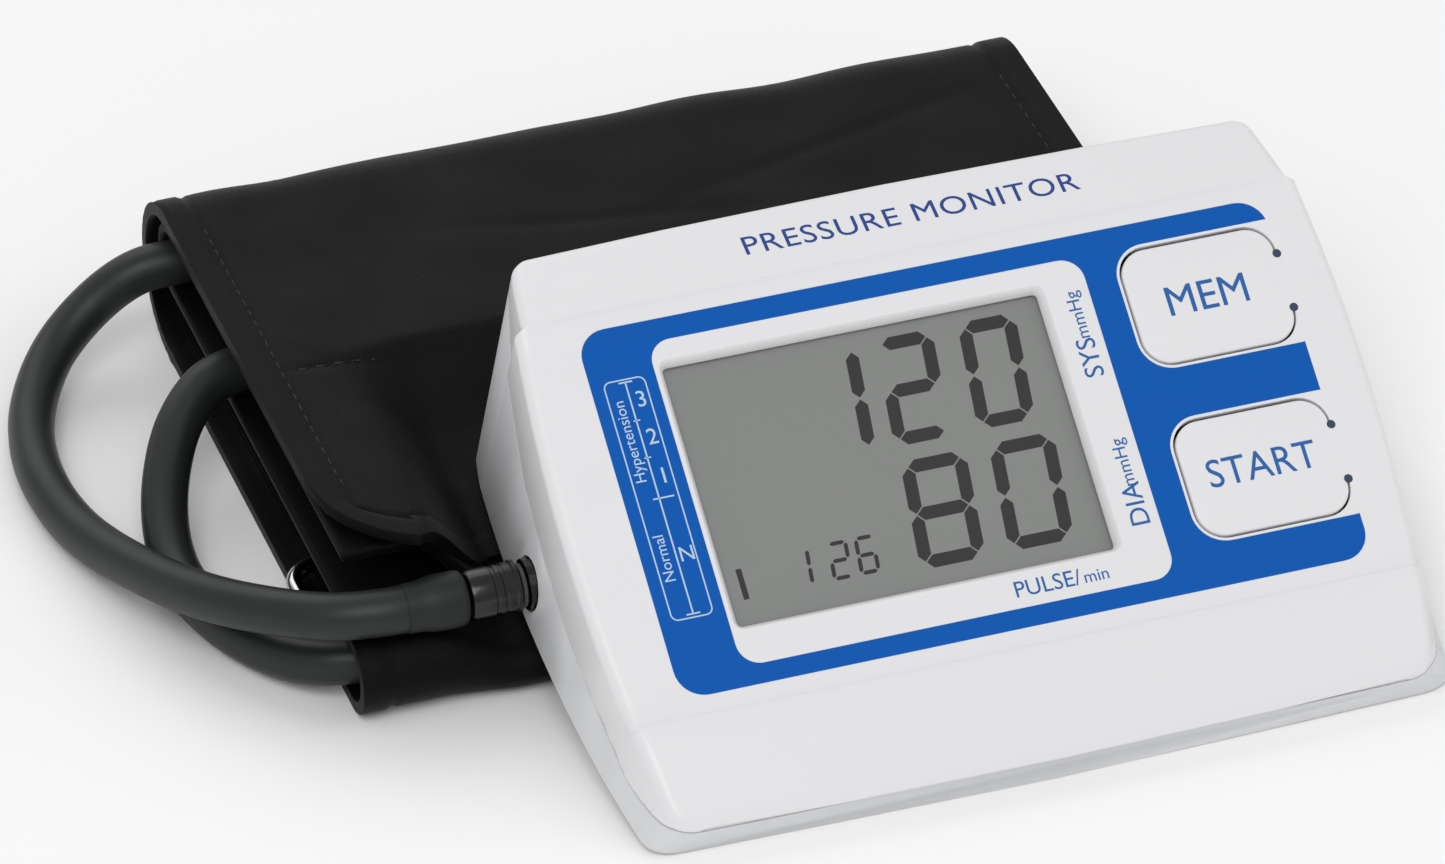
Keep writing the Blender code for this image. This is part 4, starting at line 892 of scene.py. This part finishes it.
def panel_surface(name, path_of, left, right, columns, rows, thick, lift=1.0):
    """One panel of the cuff as a thick sheet; its UV map is in mm of flat cloth."""
    grid, flat = [], []
    for column in range(columns):
        share = column / (columns - 1)
        x = left + (right - left) * share
        ys, zs, ny, nz, marks = even_points(path_of(x), rows)
        line, uv = [], []
        for y, z, a, b, mark in zip(ys, zs, ny, nz, marks):
            edge = min(x - left, right - x, mark)
            hem = 0.22 * smooth_step((STITCH_INSET - edge) / 1.2)
            groove = -0.42 * math.exp(-((edge - STITCH_INSET) / 0.55) ** 2)
            calm = smooth_step(edge / 14.0) * lift
            if z > FLAP_FROM and path_of is outer_path:
                groove -= (0.5 * math.exp(-((y - seam_at(x)) / 0.7) ** 2)
                           * smooth_step((edge - 5) / 5))
            rise = creases(x, mark, y, z) * calm * (1.0 if z > 3 else 0.15) + groove * lift
            rise += hem * lift if edge < STITCH_INSET else 0.0
            y2, z2 = y + a * rise, max(z + b * rise, thick / 2)
            line.append((x, y2, max(settle(x, y2, z2), thick / 2)))
            uv.append((x, mark))
        grid.append(line)
        flat.append(uv)
    piece = loft(name, grid)
    for corner in piece.data.uv_layers[0].data:
        u, v = corner.uv
        corner.uv = flat[int(round(v * (columns - 1)))][int(round(u * (rows - 1)))]
    thickness = piece.modifiers.new("thickness", "SOLIDIFY")
    thickness.thickness, thickness.offset = thick * MM, 0.0
    thickness.use_even_offset = False
    roll = piece.modifiers.new("soft_rim", "BEVEL")
    roll.width, roll.segments, roll.limit_method = 0.0007, 3, "ANGLE"
    roll.angle_limit = math.radians(60)
    apply_modifiers(piece)
    smooth(piece, 60)
    return settle_mesh(piece, table)


# %% [markdown]
# The outer panel makes the flap, the back fold, the underside and the front pouch. The inner panel lies
# between them, folded once.

# %%
cuff_outer = panel_surface("cuff_outer", outer_path, CUFF_LEFT, CUFF_RIGHT, 118, 250, 2.1)
finish_piece(cuff_outer, looks["nylon"], MAIN, "cuff_outer_panel", slot="black_nylon")
cuff_inner = panel_surface("cuff_inner", inner_path, CUFF_LEFT + 1.2, CUFF_RIGHT - 1.2, 90, 190, 2.0,
                           lift=0.5)
finish_piece(cuff_inner, looks["lining"], MAIN, "cuff_inner_panel", slot="black_nylon")
print("cuff", len(cuff_outer.data.polygons), len(cuff_inner.data.polygons))

# %% [markdown]
# Small stitches run along the hem of the flap and across it. One stitch is modelled and copied; each
# stitch is a short thread that dips into the cloth at both ends.

# %%
STITCH, STITCH_GAP = 2.1, 3.0          # mm, a stitch's length and the step from one to the next
GROOVE, HALF_CLOTH = 0.38, 1.05        # mm, how deep the stitches sit, and half the cloth's thickness


def flap_height(x, y):
    """Height of the flap's top at a stitch, mm."""
    mark = y - flap_tip(x)
    rise = creases(x, mark, y, FLAP_Z) * smooth_step(min(x - CUFF_LEFT, CUFF_RIGHT - x, mark) / 14.0)
    return settle(x, y, FLAP_Z + rise - GROOVE) + HALF_CLOTH


def stitch_run(points):
    """Evenly spaced places along a line on the flap: (x, y, direction)."""
    points = np.array(points, float)
    lengths = np.concatenate([[0], np.cumsum(np.hypot(*np.diff(points, axis=0).T))])
    places = []
    for mark in np.arange(1.0, lengths[-1] - 1.0, STITCH_GAP):
        x, y = (float(np.interp(mark, lengths, points[:, k])) for k in (0, 1))
        x2, y2 = (float(np.interp(mark + 0.5, lengths, points[:, k])) for k in (0, 1))
        places.append((x, y, math.atan2(y2 - y, x2 - x)))
    return places


hem_line = [(CUFF_LEFT + STITCH_INSET, y) for y in np.linspace(146, 80, 30)]
corner = 22.0 - STITCH_INSET
hem_line += [(CUFF_LEFT + 22.0 + corner * math.cos(a), 75.0 + corner * math.sin(a))
             for a in np.linspace(math.pi, 1.36 * math.pi, 24)]
hem_line += [(x, flap_tip(x) + STITCH_INSET) for x in np.linspace(-84.0, -73.5, 8)]
seam_line = [(x, seam_at(x)) for x in np.linspace(-89, 44, 60)]
right_line = [(CUFF_RIGHT - STITCH_INSET, y) for y in np.linspace(146, 112, 20)]
bpy.ops.object.select_all(action="DESELECT")
bpy.ops.mesh.primitive_uv_sphere_add(segments=8, ring_count=5, radius=0.5 * MM)
one = bpy.context.object
one.scale = (STITCH, 0.42, 0.42)
bpy.ops.object.transform_apply(location=False, rotation=False, scale=True)
stitches = []
for x, y, turn in stitch_run(hem_line) + stitch_run(seam_line) + stitch_run(right_line):
    copy = one.copy()
    copy.data = one.data.copy()
    bpy.context.scene.collection.objects.link(copy)
    slope = math.atan2(flap_height(x + 0.5 * math.cos(turn), y + 0.5 * math.sin(turn))
                       - flap_height(x, y), 0.5)
    copy.matrix_world = (Matrix.Translation(Vector((x, y, flap_height(x, y))) * MM)
                         @ Matrix.Rotation(turn, 4, "Z") @ Matrix.Rotation(-slope, 4, "Y"))
    stitches.append(copy)
bpy.data.objects.remove(one, do_unlink=True)
pick(stitches[0])
for copy in stitches[1:]:
    copy.select_set(True)
bpy.ops.object.join()
stitching = bpy.context.object
stitching.name = "flap_stitches"
settle_mesh(stitching, table)
smooth(stitching, 60)
finish_piece(stitching, looks["thread"], MAIN)
print(len(stitches), "stitches")

# %% [markdown]
# ## Soft pieces inside the fold
# The bladder, its neck and the hook tape start as copies of the CAD pieces. Each copy is merged, cut
# finer and relaxed, so its corners become round.


# %%
def softened_copy(node, name, cuts, rounds):
    """A CAD piece's mesh, remeshed in steps of `cuts` mm and relaxed `rounds` times."""
    bpy.ops.object.select_all(action="DESELECT")
    piece = nodes[node].copy()
    piece.data = nodes[node].data.copy()
    piece.parent = None
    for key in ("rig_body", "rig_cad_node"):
        del piece[key]
    piece.name = name
    bpy.context.scene.collection.objects.link(piece)
    pick(piece)
    bpy.ops.object.mode_set(mode="EDIT")
    bpy.ops.mesh.select_all(action="SELECT")
    bpy.ops.mesh.customdata_custom_splitnormals_clear()
    bpy.ops.mesh.remove_doubles(threshold=2e-6)
    bpy.ops.object.mode_set(mode="OBJECT")
    remesh = piece.modifiers.new("even", "REMESH")
    remesh.mode, remesh.voxel_size = "VOXEL", cuts * MM
    relax = piece.modifiers.new("relax", "SMOOTH")
    relax.factor, relax.iterations = 0.6, rounds
    apply_modifiers(piece)
    smooth(piece, 80)
    return piece


# %%
bladder = softened_copy("bladder", "bladder_bag", 1.1, 10)
finish_piece(bladder, looks["bladder"], MAIN, "bladder", slot="bladder_tpu")
neck = softened_copy("bladder_neck", "bladder_hose_neck", 0.5, 5)
finish_piece(neck, looks["bladder"], MAIN, "bladder_neck", slot="bladder_tpu")
tape = softened_copy("hook_patch", "hook_tape_strip", 0.35, 1)
finish_piece(tape, looks["hook"], MAIN, "hook_patch", slot="hook_tape")
port = turned("hose_port", [(-93.2, 2.6), (-93.2, 3.1), (-92.8, 3.25), (-91.0, 3.25), (-90.8, 3.8),
                            (-90.4, 3.95), (-89.8, 3.95), (-89.4, 3.7), (-89.2, 3.25),
                            (-86.2, 3.2), (-86.0, 3.0), (-86.0, 0), (-93.2, 0)],
              table @ Matrix.Translation((0, 55.6 * MM, 6.5 * MM)), 40)
finish_piece(port, looks["sleeve"], MAIN, "bladder_port", slot="clear_silicone")
print("bladder, neck, hook tape and port")

# %% [markdown]
# ## The metal ring
# A chromed wire bent into a long loop with round corners.

# %%
WIRE = 1.3
ring_left, ring_right, ring_low, ring_high, ring_corner = (
    CUFF_LEFT - 2 + WIRE, CUFF_RIGHT + 1 - WIRE, 70.5, 84.5, 5.0)
ring_points = []
for cx, cy, start in ((ring_right - ring_corner, ring_high - ring_corner, 0),
                      (ring_left + ring_corner, ring_high - ring_corner, 90),
                      (ring_left + ring_corner, ring_low + ring_corner, 180),
                      (ring_right - ring_corner, ring_low + ring_corner, 270)):
    for k in range(13):
        a = math.radians(start + 7.5 * k)
        ring_points.append((cx + ring_corner * math.cos(a), cy + ring_corner * math.sin(a), 4.2))
metal_ring = tube("metal_ring", ring_points, WIRE, 5, closed=True)
finish_piece(metal_ring, looks["chrome"], MAIN, "d_ring", slot="chromed_wire")
print("metal ring")

# %% [markdown]
# ## Underside and inner pieces
# The feet and screws are turned again with finer edges, and the screws get a cross recess.

# %%
FEET = ((-61.5 * 0.97, 13.0), (61.5 * 0.97, 13.0), (-61.5, 80.0), (61.5, 80.0))
for count, (x, y) in enumerate(FEET, 1):
    foot = turned(f"foot_{count}", [(-1.2, 0), (-1.2, 2.9), (-1.1, 3.2), (-0.85, 3.42),
                                    (-0.6, 3.5), (-0.1, 3.5), (-0.1, 0)], upright_at(x, y), 48)
    finish_piece(foot, looks["foot"], MAIN, f"rubber_foot_{count}", slot="grey_rubber")
for count, (x, y) in enumerate(SCREWS, 1):
    screw = turned(f"screw_{count}", [(0.1, 0), (0.1, 1.7), (0.2, 2.1), (0.4, 2.35), (0.8, 2.4),
                                      (0.9, 1.15), (7.2, 1.15), (7.7, 0.5), (7.7, 0)],
                   upright_at(x, y), 32)
    for turn in (0, 90):
        bar = slab("cross", -1.3, -0.25, 1.3, 0.25, -0.2, 0.7)
        settle_mesh(bar, monitor @ Matrix.Translation((x * MM, y * MM, 0))
                    @ Matrix.Rotation(math.radians(turn), 4, "Z"))
        boolean(screw, bar)
    finish_piece(screw, looks["steel"], MAIN, f"case_screw_{count}", slot="plated_steel")
print(len(FEET), "feet and", len(SCREWS), "screws")

# %% [markdown]
# The battery door is a plate with five shallow finger grooves at its back edge.

# %%
door = settle_mesh(slab("door_panel", -57.1, 54.7, 51.7, 87.8, 0, 1.5, 0.8, 4), monitor)
for k in range(5):
    groove = slab("groove", -9, 79.4 + 1.6 * k, 3, 80.2 + 1.6 * k, -0.5, 0.35)
    boolean(door, settle_mesh(groove, monitor))
rim = door.modifiers.new("soft_edge", "BEVEL")
rim.width, rim.segments, rim.limit_method, rim.angle_limit = 0.0002, 2, "ANGLE", math.radians(60)
apply_modifiers(door)
smooth(door)
# The door gets the darker white of painted shade.
finish_piece(door, looks["base"], "battery_door", "battery_door", slot="white_abs")
print("battery door")

# %% [markdown]
# The pieces inside the case keep the meshes of the CAD, and only get a material.

# %%
INNER_LOOKS = {
    "plug_seal": "foot", "air_jack": "plug", "lcd_holder": "inner", "zebra_strip": "foot",
    "main_board": "board", "microcontroller": "chip", "pressure_sensor": "chip", "buzzer": "chip",
    "pump_motor": "steel", "pump_rotor": "steel", "pump_head": "silicone", "valve_body": "steel",
    "valve_plunger": "steel", "valve_spring": "steel", "air_manifold": "silicone",
    "inner_air_tube": "silicone", "battery_tray": "inner", "contact_spring_1": "steel",
    "contact_spring_2": "steel", "contact_plate_1": "brass", "contact_plate_2": "brass",
    "mem_switch_body": "chip", "mem_switch_stem": "inner", "start_switch_body": "chip",
    "start_switch_stem": "inner", "cell_1": "cell", "cell_2": "cell", "cell_3": "cell",
    "cell_4": "cell"}
for name, look in INNER_LOOKS.items():
    nodes[name].data.materials.clear()
    nodes[name].data.materials.append(looks[look])
bare = [n for n, o in nodes.items() if not o.hide_render and n not in INNER_LOOKS
        and n != "lcd_cell"]
print("CAD nodes with no new look:", bare)

# %% [markdown]
# ## Floor and light
# A pale floor, a pale sky and three large soft lamps give the flat, bright light of a product picture.

# %%
bpy.ops.object.select_all(action="DESELECT")
bpy.ops.mesh.primitive_plane_add(size=12, location=(0, 0, 0))
floor = bpy.context.object
floor.name = "floor"
floor_look = bpy.data.materials.new("Pale_Paper_Floor")
floor_look.use_nodes = True
paper = floor_look.node_tree.nodes["Principled BSDF"]
paper.inputs["Base Color"].default_value = colour("FDFDFD")
paper.inputs["Roughness"].default_value = 0.9
floor.data.materials.append(floor_look)

world = bpy.data.worlds.new("Pale_Sky")
world.use_nodes = True
world.node_tree.nodes["Background"].inputs["Color"].default_value = (1, 1, 1, 1)
world.node_tree.nodes["Background"].inputs["Strength"].default_value = 0.56
bpy.context.scene.world = world
for name, place, size, power in (("key", (-0.5, -0.9, 1.3), 0.9, 9.0),
                                 ("fill", (1.1, -0.5, 0.9), 1.0, 2.5),
                                 ("back", (-0.2, 1.2, 1.1), 1.2, 5.0)):
    bpy.ops.object.light_add(type="AREA", location=place)
    lamp = bpy.context.object
    lamp.name = name
    lamp.data.size, lamp.data.energy = size, power
    lamp.rotation_euler = (-Vector(place)).to_track_quat("-Z", "Y").to_euler()
bpy.context.scene.view_settings.view_transform = "Standard"
